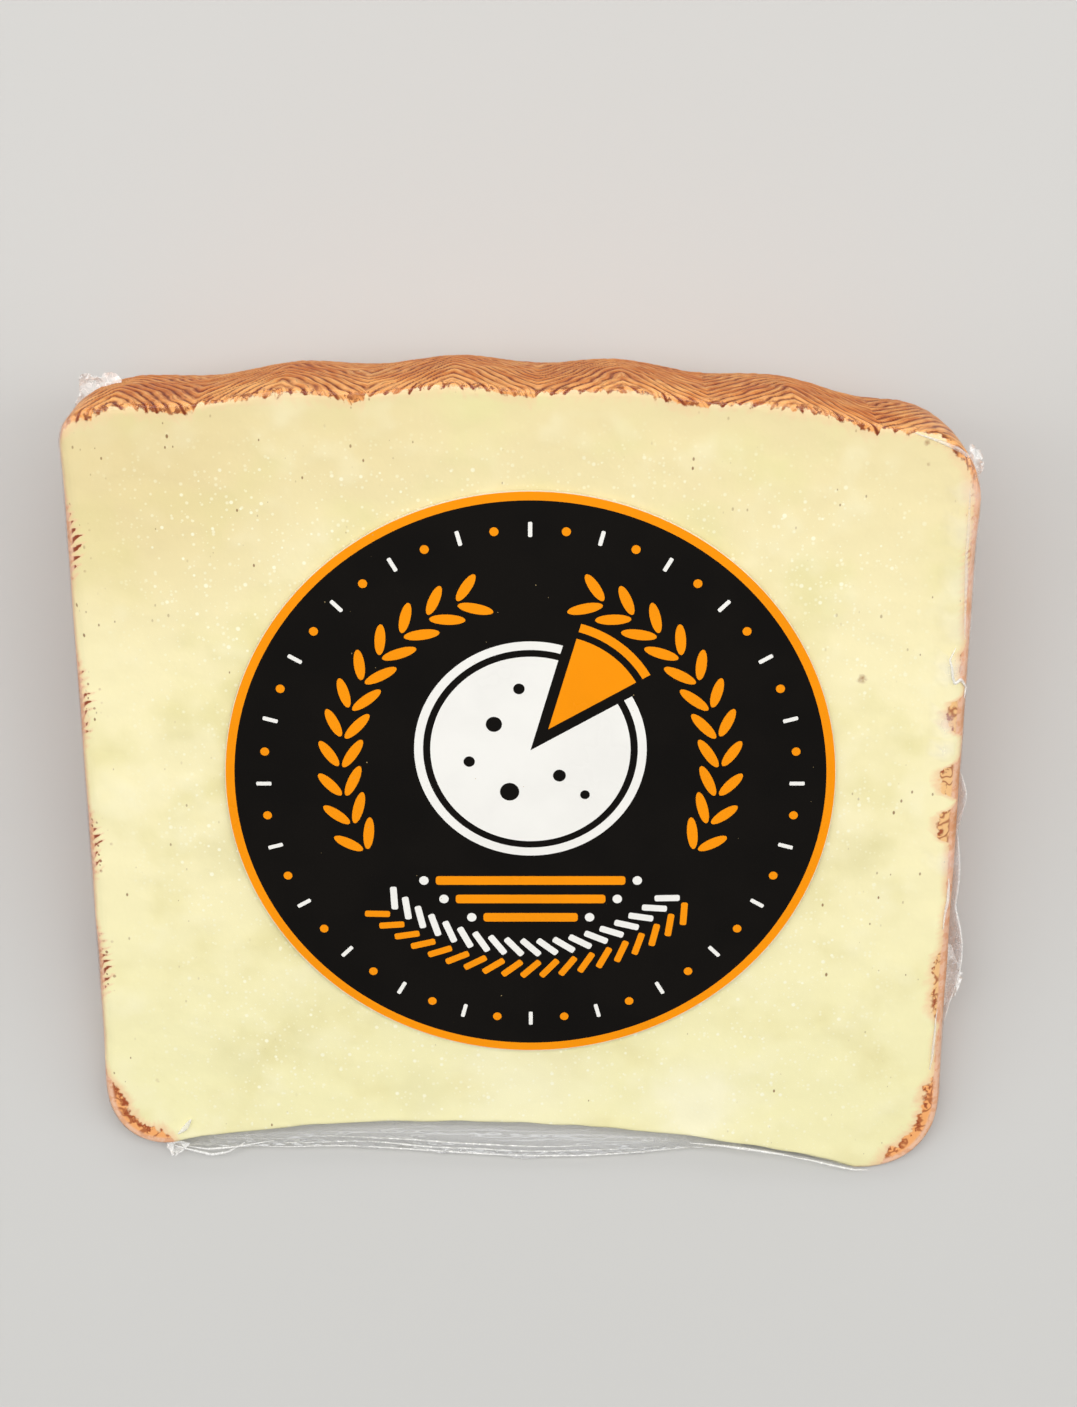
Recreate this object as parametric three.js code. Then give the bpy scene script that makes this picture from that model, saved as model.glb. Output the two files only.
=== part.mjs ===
// A wedge of aged sheep's milk cheese, sealed in clear shrink film with a round label on its upper cut face.
// Millimetres, +Z up. The wedge lies on its lower cut face. X runs along the axis of the wheel that it was
// cut from, Y runs from the thin tip to the rind, and the origin is under the middle of the pack.
import * as THREE from "three";

// The wheel and the cut
const WHEEL_HEIGHT = 110;
const WHEEL_RADIUS = 110;
const WEDGE_ANGLE = THREE.MathUtils.degToRad(22);
const HALF_HEIGHT = WHEEL_HEIGHT / 2;

// Half section of the wheel, as (place along the axis, distance from the axis). Each round stretch runs from
// one point to the next and bends towards the bend points between them
const RIGHT_FLANK_FOOT = new THREE.Vector2(HALF_HEIGHT, 14);
const RIGHT_FLANK_HEAD = new THREE.Vector2(HALF_HEIGHT, 94);
const RIGHT_SHOULDER_BEND = new THREE.Vector2(HALF_HEIGHT, WHEEL_RADIUS - 6.2);
const RIM_RIGHT = new THREE.Vector2(46, WHEEL_RADIUS - 4.8);
const RIM_BEND = new THREE.Vector2(3, WHEEL_RADIUS + 4);
const RIM_LEFT = new THREE.Vector2(-50.5, WHEEL_RADIUS - 2.8);
const LEFT_SHOULDER_BEND = new THREE.Vector2(-HALF_HEIGHT, WHEEL_RADIUS - 3);
const LEFT_FLANK_HEAD = new THREE.Vector2(-HALF_HEIGHT, 102.5);
const LEFT_FLANK_FOOT = new THREE.Vector2(-HALF_HEIGHT, 16);
const LEFT_TOE_BEND = new THREE.Vector2(-54.5, 6.5);
const TIP_LEFT = new THREE.Vector2(-46, 6.8);
const TIP_LEFT_BEND = new THREE.Vector2(-20, 12);
const TIP_RIGHT_BEND = new THREE.Vector2(15, 10.5);
const TIP_RIGHT = new THREE.Vector2(44, 3.1);
const RIGHT_TOE_BEND = new THREE.Vector2(54, 3);

// Rounding of the cut edges
const FLANK_ROUND = 2.2;
const RIND_ROUND = 0.8;
const TIP_ROUND = 0.5;
const ROUND_STEPS = 3;

// The mark of the plaited grass mould on the rind: rows of strands that meet in ridges
const PLAIT_WIDTH = 20.2;
const PLAIT_RIDGE_X = 12;
const PLAIT_RIDGE_HEIGHT = 0.3;
const STRAND_WIDTH = 3.8;
const STRAND_SLOPE = 0.49;
const STRAND_DEPTH = 0.55;

// The loose film: a web across the hollow of the tip, and folds that stand out at half thickness
const WEB_CHORD = 6.1;
const WEB_BULGE = 1.4;
const WEB_MIDDLE_X = 3;
const WEB_HALF_LENGTH = 26;
const FILM_FOLDS = [
  { name: "lower flank tuck", x: HALF_HEIGHT, rho: 32, half: 10, reach: 2.8 },
  { name: "flank fold", x: HALF_HEIGHT, rho: 52, half: 14, reach: 1.5 },
  { name: "right shoulder tuck", x: HALF_HEIGHT, rho: 96, half: 4, reach: 3 },
  { name: "left shoulder tuck", x: -53.5, rho: 106, half: 4.5, reach: 4 },
];

// The label
const LABEL_DIAMETER = 76;
const LABEL_THICKNESS = 0.4;
const LABEL_CLEARANCE = 0.3;
const LABEL_X = 1;
const LABEL_RHO = 59.4;
const LABEL_SEGMENTS = 96;

// Facets across the thickness of the wedge, inside its rounded edges
const FINE_LEVELS = 23;
const COARSE_LEVELS = 3;

/** The curves of the half section, closed and anticlockwise with the rind at the top. */
function halfSection() {
  return [
    new THREE.LineCurve(RIGHT_FLANK_FOOT, RIGHT_FLANK_HEAD),
    new THREE.QuadraticBezierCurve(RIGHT_FLANK_HEAD, RIGHT_SHOULDER_BEND, RIM_RIGHT),
    new THREE.QuadraticBezierCurve(RIM_RIGHT, RIM_BEND, RIM_LEFT),
    new THREE.QuadraticBezierCurve(RIM_LEFT, LEFT_SHOULDER_BEND, LEFT_FLANK_HEAD),
    new THREE.LineCurve(LEFT_FLANK_HEAD, LEFT_FLANK_FOOT),
    new THREE.QuadraticBezierCurve(LEFT_FLANK_FOOT, LEFT_TOE_BEND, TIP_LEFT),
    new THREE.CubicBezierCurve(TIP_LEFT, TIP_LEFT_BEND, TIP_RIGHT_BEND, TIP_RIGHT),
    new THREE.QuadraticBezierCurve(TIP_RIGHT, RIGHT_TOE_BEND, RIGHT_FLANK_FOOT),
  ];
}

// One entry for each curve of the half section, in its order: plait gives the share of the mould's mark
// on the rind at the start and the end of the curve
const STRETCHES = [
  { name: "right flank", divisions: 30, round: FLANK_ROUND, levels: COARSE_LEVELS, plait: [0, 0] },
  { name: "right shoulder", divisions: 13, round: RIND_ROUND, levels: FINE_LEVELS, plait: [0, 1] },
  { name: "rim", divisions: 88, round: RIND_ROUND, levels: FINE_LEVELS, plait: [1, 1] },
  { name: "left shoulder", divisions: 8, round: RIND_ROUND, levels: FINE_LEVELS, plait: [1, 0] },
  { name: "left flank", divisions: 14, round: FLANK_ROUND, levels: COARSE_LEVELS, plait: [0, 0] },
  { name: "left toe", divisions: 7, round: TIP_ROUND, levels: COARSE_LEVELS, plait: [0, 0] },
  { name: "tip", divisions: 22, round: TIP_ROUND, levels: COARSE_LEVELS, plait: [0, 0] },
  { name: "right toe", divisions: 7, round: TIP_ROUND, levels: COARSE_LEVELS, plait: [0, 0] },
];

/** Height of the mould's mark at x along the wheel's axis and arc round the rind, in millimetres. */
function plaitRelief(x, arc) {
  const fromRidge = THREE.MathUtils.euclideanModulo(x - PLAIT_RIDGE_X + PLAIT_WIDTH / 2, PLAIT_WIDTH);
  const across = Math.abs(fromRidge - PLAIT_WIDTH / 2);
  const ridge = PLAIT_RIDGE_HEIGHT * Math.cos((2 * Math.PI * across) / PLAIT_WIDTH);
  const strand = Math.sin((Math.PI * (across - STRAND_SLOPE * arc)) / STRAND_WIDTH);
  return ridge + STRAND_DEPTH * (Math.sqrt(Math.abs(strand)) - 1);
}

/** A smooth bump: 1 in the middle and 0 from one half length on. */
function bump(distance, half) {
  const share = Math.min(1, Math.abs(distance) / half);
  return (1 - share * share) ** 2;
}

/** How far the film stands out from the cheese at half thickness, at a point of the half section. */
function filmReach(point, stretch) {
  if (stretch.name === "tip") {
    const edge = WEB_CHORD - WEB_BULGE * bump(point.x - WEB_MIDDLE_X, WEB_HALF_LENGTH);
    return Math.max(0, point.y - edge);
  }
  return FILM_FOLDS.reduce((reach, fold) => {
    const away = Math.hypot(point.x - fold.x, point.y - fold.rho);
    return Math.max(reach, fold.reach * bump(away, fold.half));
  }, 0);
}

/** Arc positions and insets across the thickness of the wedge, from its lower cut face to its upper one. */
function levelsOf(thickness, round, inner) {
  const edge = Array.from({ length: ROUND_STEPS + 1 }, (_, step) => {
    const turn = (step * Math.PI) / 2 / ROUND_STEPS;
    return { arc: round * (1 - Math.cos(turn)), inset: round * (1 - Math.sin(turn)) };
  });
  const middle = Array.from({ length: inner }, (_, step) => ({
    arc: round + ((thickness - 2 * round) * (step + 1)) / (inner + 1),
    inset: 0,
  }));
  const mirrored = edge.map(({ arc, inset }) => ({ arc: thickness - arc, inset })).reverse();
  return [...edge, ...middle, ...mirrored];
}

/** The points of one column of the wedge's outer wall, with their share of the thickness. */
function columnOf(point, normal, stretch, share) {
  const thickness = point.y * WEDGE_ANGLE;
  const levels = levelsOf(thickness, stretch.round, stretch.levels);
  const half = (levels.length - 1) / 2;
  const plait = THREE.MathUtils.lerp(...stretch.plait, share);
  return levels.map(({ arc, inset }, level) => {
    const film = level === half ? filmReach(point, stretch) : 0;
    const out = plait * plaitRelief(point.x, arc) + film - inset;
    const x = point.x + normal.x * out;
    const rho = point.y + normal.y * out;
    const turn = (WEDGE_ANGLE * arc) / thickness;
    return {
      share: arc / thickness,
      section: new THREE.Vector2(x, rho),
      place: new THREE.Vector3(x, rho * Math.cos(turn), rho * Math.sin(turn)),
    };
  });
}

/** The columns of the whole outer wall, anticlockwise round the half section. */
function wallColumns() {
  return halfSection().flatMap((curve, index) => {
    const stretch = STRETCHES[index];
    return Array.from({ length: stretch.divisions }, (_, step) => {
      const share = step / stretch.divisions;
      const along = curve.getTangentAt(share);
      return columnOf(curve.getPointAt(share), new THREE.Vector2(along.y, -along.x), stretch, share);
    });
  });
}

/** The sealed wedge, film and cheese in one solid: its wall, zipped column to column, and its cut faces. */
function wrappedCheeseGeometry() {
  const columns = wallColumns();
  const starts = [];
  const points = [];
  columns.forEach((column) => {
    starts.push(points.length);
    points.push(...column.map(({ place }) => place));
  });
  const triangles = [];
  columns.forEach((near, index) => {
    const next = (index + 1) % columns.length;
    const far = columns[next];
    let a = 0;
    let b = 0;
    while (a < near.length - 1 || b < far.length - 1) {
      const stepNear = a < near.length - 1 ? near[a + 1].share : Infinity;
      const stepFar = b < far.length - 1 ? far[b + 1].share : Infinity;
      if (stepFar <= stepNear) {
        triangles.push(starts[index] + a, starts[next] + b, starts[next] + b + 1);
        b += 1;
      } else {
        triangles.push(starts[index] + a, starts[next] + b, starts[index] + a + 1);
        a += 1;
      }
    }
  });
  const lowerEdge = columns.map((column) => column[0].section);
  const upperEdge = columns.map((column) => column[column.length - 1].section);
  THREE.ShapeUtils.triangulateShape(lowerEdge, []).forEach(([a, b, c]) => {
    triangles.push(starts[a], starts[c], starts[b]);
  });
  THREE.ShapeUtils.triangulateShape(upperEdge, []).forEach((face) => {
    triangles.push(...face.map((column) => starts[column] + columns[column].length - 1));
  });
  return new THREE.BufferGeometry().setFromPoints(points).setIndex(triangles);
}

/** The round label, lying just clear of the upper cut face. */
function labelMesh(material) {
  const radius = LABEL_DIAMETER / 2;
  const disc = new THREE.CylinderGeometry(radius, radius, LABEL_THICKNESS, LABEL_SEGMENTS);
  const mesh = new THREE.Mesh(disc, material);
  mesh.name = "label";
  mesh.position.set(LABEL_X, LABEL_RHO, LABEL_CLEARANCE + LABEL_THICKNESS / 2);
  mesh.rotation.x = Math.PI / 2;
  return mesh;
}

/** The whole pack, shifted so that its origin is under the middle of its bounding box. */
function pack() {
  const cheese = new THREE.MeshStandardMaterial({ color: 0xf6ecbb, roughness: 0.3, metalness: 0 });
  const print = new THREE.MeshStandardMaterial({ color: 0x17140f, roughness: 0.25, metalness: 0 });
  const wedge = new THREE.Mesh(wrappedCheeseGeometry(), cheese);
  wedge.name = "wrapped_cheese";
  const upperFace = new THREE.Group();
  upperFace.rotation.x = WEDGE_ANGLE;
  upperFace.add(labelMesh(print));
  const whole = new THREE.Group();
  whole.add(wedge, upperFace);
  const middle = new THREE.Box3().setFromObject(whole).getCenter(new THREE.Vector3());
  whole.position.set(-middle.x, -middle.y, 0);
  return new THREE.Group().add(whole);
}

export default pack();
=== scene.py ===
"""A wedge of aged sheep's milk cheese in clear shrink film, with a round label on its upper cut face.

The wedge is a slice of a wheel and lies on its lower cut face. Wheel coordinates are x along the wheel's
axis, rho away from the axis and turn about it, measured from the lower cut face. They are in millimetres
and radians, as are all sizes here, and Wheel.row takes them to the metres of the row frame.
"""
import logging
import math
from dataclasses import dataclass, field
from enum import Enum
from typing import Any, Iterable, Sequence

import bpy
import numpy as np
from mathutils import Matrix, Vector, noise
from mathutils.kdtree import KDTree


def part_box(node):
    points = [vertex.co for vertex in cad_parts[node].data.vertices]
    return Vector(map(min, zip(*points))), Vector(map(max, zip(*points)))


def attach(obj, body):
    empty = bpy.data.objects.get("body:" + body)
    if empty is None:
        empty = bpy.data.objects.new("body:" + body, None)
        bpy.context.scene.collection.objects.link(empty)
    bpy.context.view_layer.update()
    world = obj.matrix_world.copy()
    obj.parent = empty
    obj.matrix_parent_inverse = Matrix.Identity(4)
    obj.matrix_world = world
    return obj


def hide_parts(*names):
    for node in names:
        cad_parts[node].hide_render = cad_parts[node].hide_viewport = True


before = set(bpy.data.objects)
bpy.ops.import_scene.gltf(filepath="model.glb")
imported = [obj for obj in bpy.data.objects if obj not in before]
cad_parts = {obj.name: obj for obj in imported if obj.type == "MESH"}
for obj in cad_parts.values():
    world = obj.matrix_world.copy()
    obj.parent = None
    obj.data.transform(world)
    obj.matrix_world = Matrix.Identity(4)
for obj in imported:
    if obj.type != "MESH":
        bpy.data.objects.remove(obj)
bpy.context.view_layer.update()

LOG = logging.getLogger("cheese_wedge")
BODY = "root"
MM = 0.001
PER_MM = 1.0 / MM
# A distance that counts as none
HAIR = 0.001
# How far the middle of the label's solid lies off the upper cut face
LABEL_SOLID_LIFT = 0.5
# How far in over a cut face the wall's relief fades out
RELIEF_REACH = 2.5
# The number of points that a curve is measured by
CURVE_STEPS = 400
# Full strength at both ends of a stretch
FULL = (1.0, 1.0)
Pair = tuple[float, float]
Colour = tuple[float, float, float, float]


def srgb(red: int, green: int, blue: int) -> Colour:
    """A screen colour as the linear colour that a shader takes.

    Args:
        red: The red channel, in steps of 0 to 255.
        green: The green channel.
        blue: The blue channel.

    Returns:
        The linear colour.
    """
    def linear(step: int) -> float:
        """One channel, from 0 to 1."""
        share = step / 255.0
        return share / 12.92 if share <= 0.04045 else ((share + 0.055) / 1.055) ** 2.4

    return linear(red), linear(green), linear(blue), 1.0


def swell(distance: np.ndarray, half: float) -> np.ndarray:
    """A smooth bump by the distance from its middle: 1 there, and 0 from one half length on."""
    share = np.clip(np.abs(distance) / half, 0.0, 1.0)
    return (1.0 - share * share) ** 2


def rows(first: np.ndarray, second: np.ndarray, third: np.ndarray | float = 0.0) -> np.ndarray:
    """Points as rows of three numbers."""
    return np.stack(np.broadcast_arrays(first, second, third), axis=-1)


def wander(places: np.ndarray, scale: float, seed: int) -> np.ndarray:
    """Smooth noise from -1 to 1 at rows of points, with features of a scale. A seed picks the field."""
    shift = Vector((17.3, 5.1, 9.7)) * seed
    return np.array([noise.noise(Vector(place) / scale + shift) for place in places])


def fade_in(inward: np.ndarray) -> np.ndarray:
    """How the wall's relief fades over a cut face, from 1 at its edge."""
    return np.clip(1.0 - inward / RELIEF_REACH, 0.0, 1.0) ** 2


def steady(value: float) -> Pair:
    """The same value at both ends of a stretch of the outline."""
    return value, value


class Side(Enum):
    """The stretches of the half section, anticlockwise from the foot of the right flank."""

    RIGHT_FLANK = "right flank"
    RIGHT_SHOULDER = "right shoulder"
    RIM = "rim"
    LEFT_SHOULDER = "left shoulder"
    LEFT_FLANK = "left flank"
    LEFT_TOE = "left toe"
    TIP = "tip"
    RIGHT_TOE = "right toe"


FLANKS = (Side.RIGHT_FLANK, Side.LEFT_FLANK)
TOES = (Side.LEFT_TOE, Side.RIGHT_TOE)


@dataclass(frozen=True)
class Stretch:
    """One curve of the half section, by its Bezier control points (x, rho)."""

    side: Side
    controls: tuple[Pair, ...]

    def curve(self, share: np.ndarray) -> np.ndarray:
        """Points of the curve, by repeated mixing of the control points.

        Args:
            share: Shares of the curve's own run.

        Returns:
            A point (x, rho) for each share.
        """
        level = [np.tile(control, (len(share), 1)) for control in self.controls]
        while len(level) > 1:
            level = [near + (far - near) * share[:, None] for near, far in zip(level, level[1:])]
        return level[0]

    def walk(self, spacing: float) -> tuple[np.ndarray, np.ndarray]:
        """Evenly spaced points along the curve, without its last one.

        Args:
            spacing: The wanted distance between two points.

        Returns:
            The points and each one's share of the curve's length.
        """
        fine = self.curve(np.linspace(0.0, 1.0, CURVE_STEPS))
        run = np.concatenate([[0.0], np.cumsum(np.linalg.norm(np.diff(fine, axis=0), axis=1))])
        count = max(2, round(run[-1] / spacing))
        share = np.arange(count) / count
        points = [np.interp(share * run[-1], run, fine[:, axis]) for axis in range(2)]
        return np.stack(points, axis=1), share


@dataclass(frozen=True)
class HalfSection:
    """The outline of the wedge in the plane of the wheel's axis.

    Attributes:
        wheel_height: The height of the wheel.
        wheel_radius: Its nominal radius.
        right_foot: The distance of the right flank's lower end from the axis.
        right_head: That of its upper end.
        left_head: That of the left flank's upper end.
        left_foot: That of its lower end.
        right_shoulder: How far the rim's right end lies inside the flank and inside the radius.
        right_bend: How far the right shoulder's control point lies inside the radius.
        left_shoulder: How far the rim's left end lies inside the flank and inside the radius.
        left_bend: How far the left shoulder's control point lies inside the radius.
        crown: The x of the rim's control point, and how far it lies outside the radius.
        left_toe: How far the left toe's control point lies inside the flank, and its rho.
        right_toe: The same of the right toe.
        tip: The control points of the tip, from the left to the right.
    """

    wheel_height: float = 110.0
    wheel_radius: float = 110.0
    right_foot: float = 14.0
    right_head: float = 94.0
    left_head: float = 102.5
    left_foot: float = 16.0
    right_shoulder: Pair = (9.0, 4.8)
    right_bend: float = 6.2
    left_shoulder: Pair = (4.5, 2.8)
    left_bend: float = 3.0
    crown: Pair = (3.0, 4.0)
    left_toe: Pair = (0.5, 6.5)
    right_toe: Pair = (1.0, 3.0)
    tip: tuple[Pair, ...] = ((-46.0, 6.8), (-20.0, 12.0), (15.0, 10.5), (44.0, 3.1))

    def stretches(self) -> list[Stretch]:
        """The curves of the outline.

        Returns:
            The curves, in the order of Side.
        """
        half = self.wheel_height / 2
        radius = self.wheel_radius
        foot, head = (half, self.right_foot), (half, self.right_head)
        left_head, left_foot = (-half, self.left_head), (-half, self.left_foot)
        rim_right = (half - self.right_shoulder[0], radius - self.right_shoulder[1])
        rim_left = (self.left_shoulder[0] - half, radius - self.left_shoulder[1])
        left_toe = (self.left_toe[0] - half, self.left_toe[1])
        right_toe = (half - self.right_toe[0], self.right_toe[1])
        controls = {
            Side.RIGHT_FLANK: (foot, head),
            Side.RIGHT_SHOULDER: (head, (half, radius - self.right_bend), rim_right),
            Side.RIM: (rim_right, (self.crown[0], radius + self.crown[1]), rim_left),
            Side.LEFT_SHOULDER: (rim_left, (-half, radius - self.left_bend), left_head),
            Side.LEFT_FLANK: (left_head, left_foot),
            Side.LEFT_TOE: (left_foot, left_toe, self.tip[0]),
            Side.TIP: self.tip,
            Side.RIGHT_TOE: (self.tip[-1], right_toe, foot),
        }
        return [Stretch(side, controls[side]) for side in Side]


@dataclass
class Outline:
    """Points round the half section, with what each one knows of its stretch."""

    points: np.ndarray
    normals: np.ndarray
    along: np.ndarray
    sides: list[Side]
    shares: np.ndarray

    def __len__(self) -> int:
        """The number of points."""
        return len(self.points)

    @classmethod
    def of(cls, section: HalfSection, spacing: dict[Side, float], inset: float = 0.0) -> "Outline":
        """Walks round a half section.

        Args:
            section: The half section.
            spacing: The distance between points on each stretch.
            inset: How far inside the half section the outline lies.

        Returns:
            The outline.
        """
        walks = [(stretch.side, *stretch.walk(spacing[stretch.side])) for stretch in section.stretches()]
        points = np.concatenate([walk[1] for walk in walks])
        ahead = np.roll(points, -1, axis=0) - np.roll(points, 1, axis=0)
        ahead /= np.linalg.norm(ahead, axis=1)[:, None]
        normals = np.stack([ahead[:, 1], -ahead[:, 0]], axis=1)
        points = points - inset * normals
        steps = np.linalg.norm(np.diff(points, axis=0), axis=1)
        sides = [side for side, walked, _ in walks for _ in walked]
        shares = np.concatenate([walk[2] for walk in walks])
        return cls(points, normals, np.concatenate([[0.0], np.cumsum(steps)]), sides, shares)

    @property
    def on_tip(self) -> np.ndarray:
        """Whether each point is on the bare tip."""
        return np.array([side is Side.TIP for side in self.sides])

    def profile(self, ends: dict[Side, Pair], blur: int = 1) -> np.ndarray:
        """A value at each point, from the values at the start and the end of its stretch.

        Args:
            ends: The two values of each stretch, 0 where a stretch isn't named.
            blur: Over how many points the values are evened out.

        Returns:
            One value for each point.
        """
        pairs = np.array([ends.get(side, (0.0, 0.0)) for side in self.sides])
        plain = pairs[:, 0] + (pairs[:, 1] - pairs[:, 0]) * self.shares
        wrapped = np.concatenate([plain[-blur:], plain, plain[:blur]])
        return np.convolve(wrapped, np.ones(blur) / blur, mode="same")[blur:-blur]

    def plait(self, start: float) -> np.ndarray:
        """The strength of the plaited mark: 1 on the rim, from a start on the right, to 0 on the left."""
        right, left = (start, 1.0), (1.0, 0.0)
        return self.profile({Side.RIGHT_SHOULDER: right, Side.RIM: FULL, Side.LEFT_SHOULDER: left})


@dataclass(frozen=True)
class Wheel:
    """Where the wheel that the wedge was cut from lies in the row frame."""

    middle_x: float
    axis_y: float
    angle: float = math.radians(22.0)

    @classmethod
    def under_label(cls, label_x: float, label_rho: float, label_lift: float) -> "Wheel":
        """Finds the wheel from the label's solid.

        Args:
            label_x: The label's middle along the wheel's axis.
            label_rho: The distance of the label's middle from the axis.
            label_lift: How far the middle of its thickness lies off the upper cut face.

        Returns:
            The wheel.
        """
        low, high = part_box("label")
        middle = (low + high) / 2 * PER_MM
        reach = label_rho * math.cos(cls.angle) - label_lift * math.sin(cls.angle)
        return cls(middle.x - label_x, middle.y - reach)

    @property
    def pivot(self) -> Vector:
        """A point on the wheel's axis, in metres."""
        return Vector((0.0, self.axis_y * MM, 0.0))

    def row(self, x: np.ndarray, rho: np.ndarray, turn: np.ndarray) -> np.ndarray:
        """Points in the row frame, from wheel coordinates.

        Args:
            x: Places along the wheel's axis.
            rho: Distances from it.
            turn: Turns about it.

        Returns:
            The points, in metres.
        """
        across = np.asarray(x) + self.middle_x
        depth = rho * np.cos(turn) + self.axis_y
        return rows(across, depth, rho * np.sin(turn)) * MM

    def of_row(self, places: np.ndarray) -> tuple[np.ndarray, np.ndarray, np.ndarray]:
        """Wheel coordinates, from points in the row frame.

        Args:
            places: The points, in metres.

        Returns:
            The x, rho and turn of each point.
        """
        across, depth, height = (places * PER_MM).T
        depth = depth - self.axis_y
        return across - self.middle_x, np.hypot(depth, height), np.arctan2(height, depth)

    def on_face(self, x: float, rho: float, lift: float) -> Vector:
        """A point on the upper cut face, or off it.

        Args:
            x: Its place along the wheel's axis.
            rho: Its distance from the axis, measured on the face.
            lift: How far it lies off the face, along the face's normal.

        Returns:
            The point in the row frame, in metres.
        """
        sine, cosine = math.sin(self.angle), math.cos(self.angle)
        depth = rho * cosine - lift * sine + self.axis_y
        return Vector((x + self.middle_x, depth, rho * sine + lift * cosine)) * MM


class Bench:
    """Modelling steps that several pieces share, each by the operators that are used by hand."""

    merge_distance = 0.002
    smooth_below = math.radians(50.0)

    @staticmethod
    def alone(piece: bpy.types.Object) -> None:
        """Selects one object and makes it the active one.

        Args:
            piece: The object.
        """
        bpy.ops.object.select_all(action="DESELECT")
        piece.select_set(True)
        bpy.context.view_layer.objects.active = piece

    @staticmethod
    def edit(piece: bpy.types.Object, kind: str, action: str = "DESELECT") -> None:
        """Opens a piece in edit mode.

        Args:
            piece: The piece, in object mode.
            kind: The kind of element to select.
            action: What is done to the selection.
        """
        Bench.alone(piece)
        bpy.ops.object.mode_set(mode="EDIT")
        bpy.ops.mesh.select_mode(type=kind)
        bpy.ops.mesh.select_all(action=action)

    @staticmethod
    def close() -> None:
        """Leaves edit mode."""
        bpy.ops.object.mode_set(mode="OBJECT")

    @staticmethod
    def pick_faces(piece: bpy.types.Object, chosen: np.ndarray) -> None:
        """Opens a piece in edit mode with the chosen faces selected.

        Args:
            piece: The piece, in object mode.
            chosen: One truth value for each face.
        """
        Bench.edit(piece, "FACE")
        Bench.close()
        piece.data.polygons.foreach_set("select", chosen)
        bpy.ops.object.mode_set(mode="EDIT")

    @staticmethod
    def face_out() -> None:
        """Turns all faces of the piece in edit mode outwards, and leaves edit mode."""
        bpy.ops.mesh.select_all(action="SELECT")
        bpy.ops.mesh.normals_make_consistent(inside=False)
        Bench.close()

    @staticmethod
    def disc(radius: float, corners: int) -> bpy.types.Object:
        """Adds a flat disc about the origin.

        Args:
            radius: Its radius.
            corners: The number of its corners.

        Returns:
            The disc, of one face.
        """
        bpy.ops.object.select_all(action="DESELECT")
        bpy.ops.mesh.primitive_circle_add(vertices=corners, radius=radius * MM, fill_type="NGON")
        return bpy.context.object

    @staticmethod
    def copy(piece: bpy.types.Object) -> bpy.types.Object:
        """Copies a piece.

        Args:
            piece: The piece.

        Returns:
            The copy, with a mesh of its own.
        """
        Bench.alone(piece)
        bpy.ops.object.duplicate(linked=False)
        return bpy.context.object

    @staticmethod
    def places(piece: bpy.types.Object) -> np.ndarray:
        """The places of a piece's vertices.

        Args:
            piece: The piece.

        Returns:
            The places, as rows of three numbers.
        """
        places = np.zeros(len(piece.data.vertices) * 3)
        piece.data.vertices.foreach_get("co", places)
        return places.reshape(-1, 3)

    @staticmethod
    def move(piece: bpy.types.Object, places: np.ndarray) -> None:
        """Puts a piece's vertices at new places."""
        piece.data.vertices.foreach_set("co", np.ascontiguousarray(places, dtype=np.float32).ravel())
        piece.data.update()

    @staticmethod
    def note(piece: bpy.types.Object, name: str, values: np.ndarray) -> None:
        """Writes one number for each vertex, for the finish to read."""
        layer = piece.data.attributes.new(name, "FLOAT", "POINT")
        layer.data.foreach_set("value", np.ascontiguousarray(values, dtype=np.float32))

    @staticmethod
    def settle(piece: bpy.types.Object, *place: Matrix) -> None:
        """Takes a piece to its place and applies it, so that the object is left at the origin.

        Args:
            piece: The piece.
            place: Moves and turns, one after the other.
        """
        for matrix in place:
            piece.matrix_world = matrix @ piece.matrix_world
        Bench.alone(piece)
        bpy.ops.object.transform_apply(location=True, rotation=True, scale=True)

    @staticmethod
    def crumple(piece: bpy.types.Object, name: str, scale: float, strength: float) -> None:
        """Crumples a piece along its normals by hard noise, through a Displace modifier.

        Args:
            piece: The piece.
            name: The noise's name.
            scale: The size of the creases.
            strength: Their height.
        """
        texture = bpy.data.textures.new(name, "CLOUDS")
        texture.noise_type = "HARD_NOISE"
        texture.noise_scale = scale * MM
        texture.noise_depth = 2
        displace = piece.modifiers.new(name, "DISPLACE")
        displace.texture = texture
        displace.texture_coords = "LOCAL"
        displace.strength = strength * MM
        displace.mid_level = 0.5
        Bench.alone(piece)
        bpy.ops.object.modifier_apply(modifier=displace.name)

    @staticmethod
    def join(pieces: Sequence[bpy.types.Object], name: str) -> bpy.types.Object:
        """Joins several pieces into the first one.

        Args:
            pieces: The pieces.
            name: The name of the joined piece.

        Returns:
            The joined piece.
        """
        Bench.alone(pieces[0])
        for piece in pieces:
            piece.select_set(True)
        bpy.ops.object.join()
        pieces[0].name = name
        pieces[0].data.name = name
        return pieces[0]

    @staticmethod
    def smooth(piece: bpy.types.Object) -> None:
        """Shades a piece smooth, but for sharp edges."""
        Bench.alone(piece)
        bpy.ops.object.shade_smooth_by_angle(angle=Bench.smooth_below)


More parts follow.
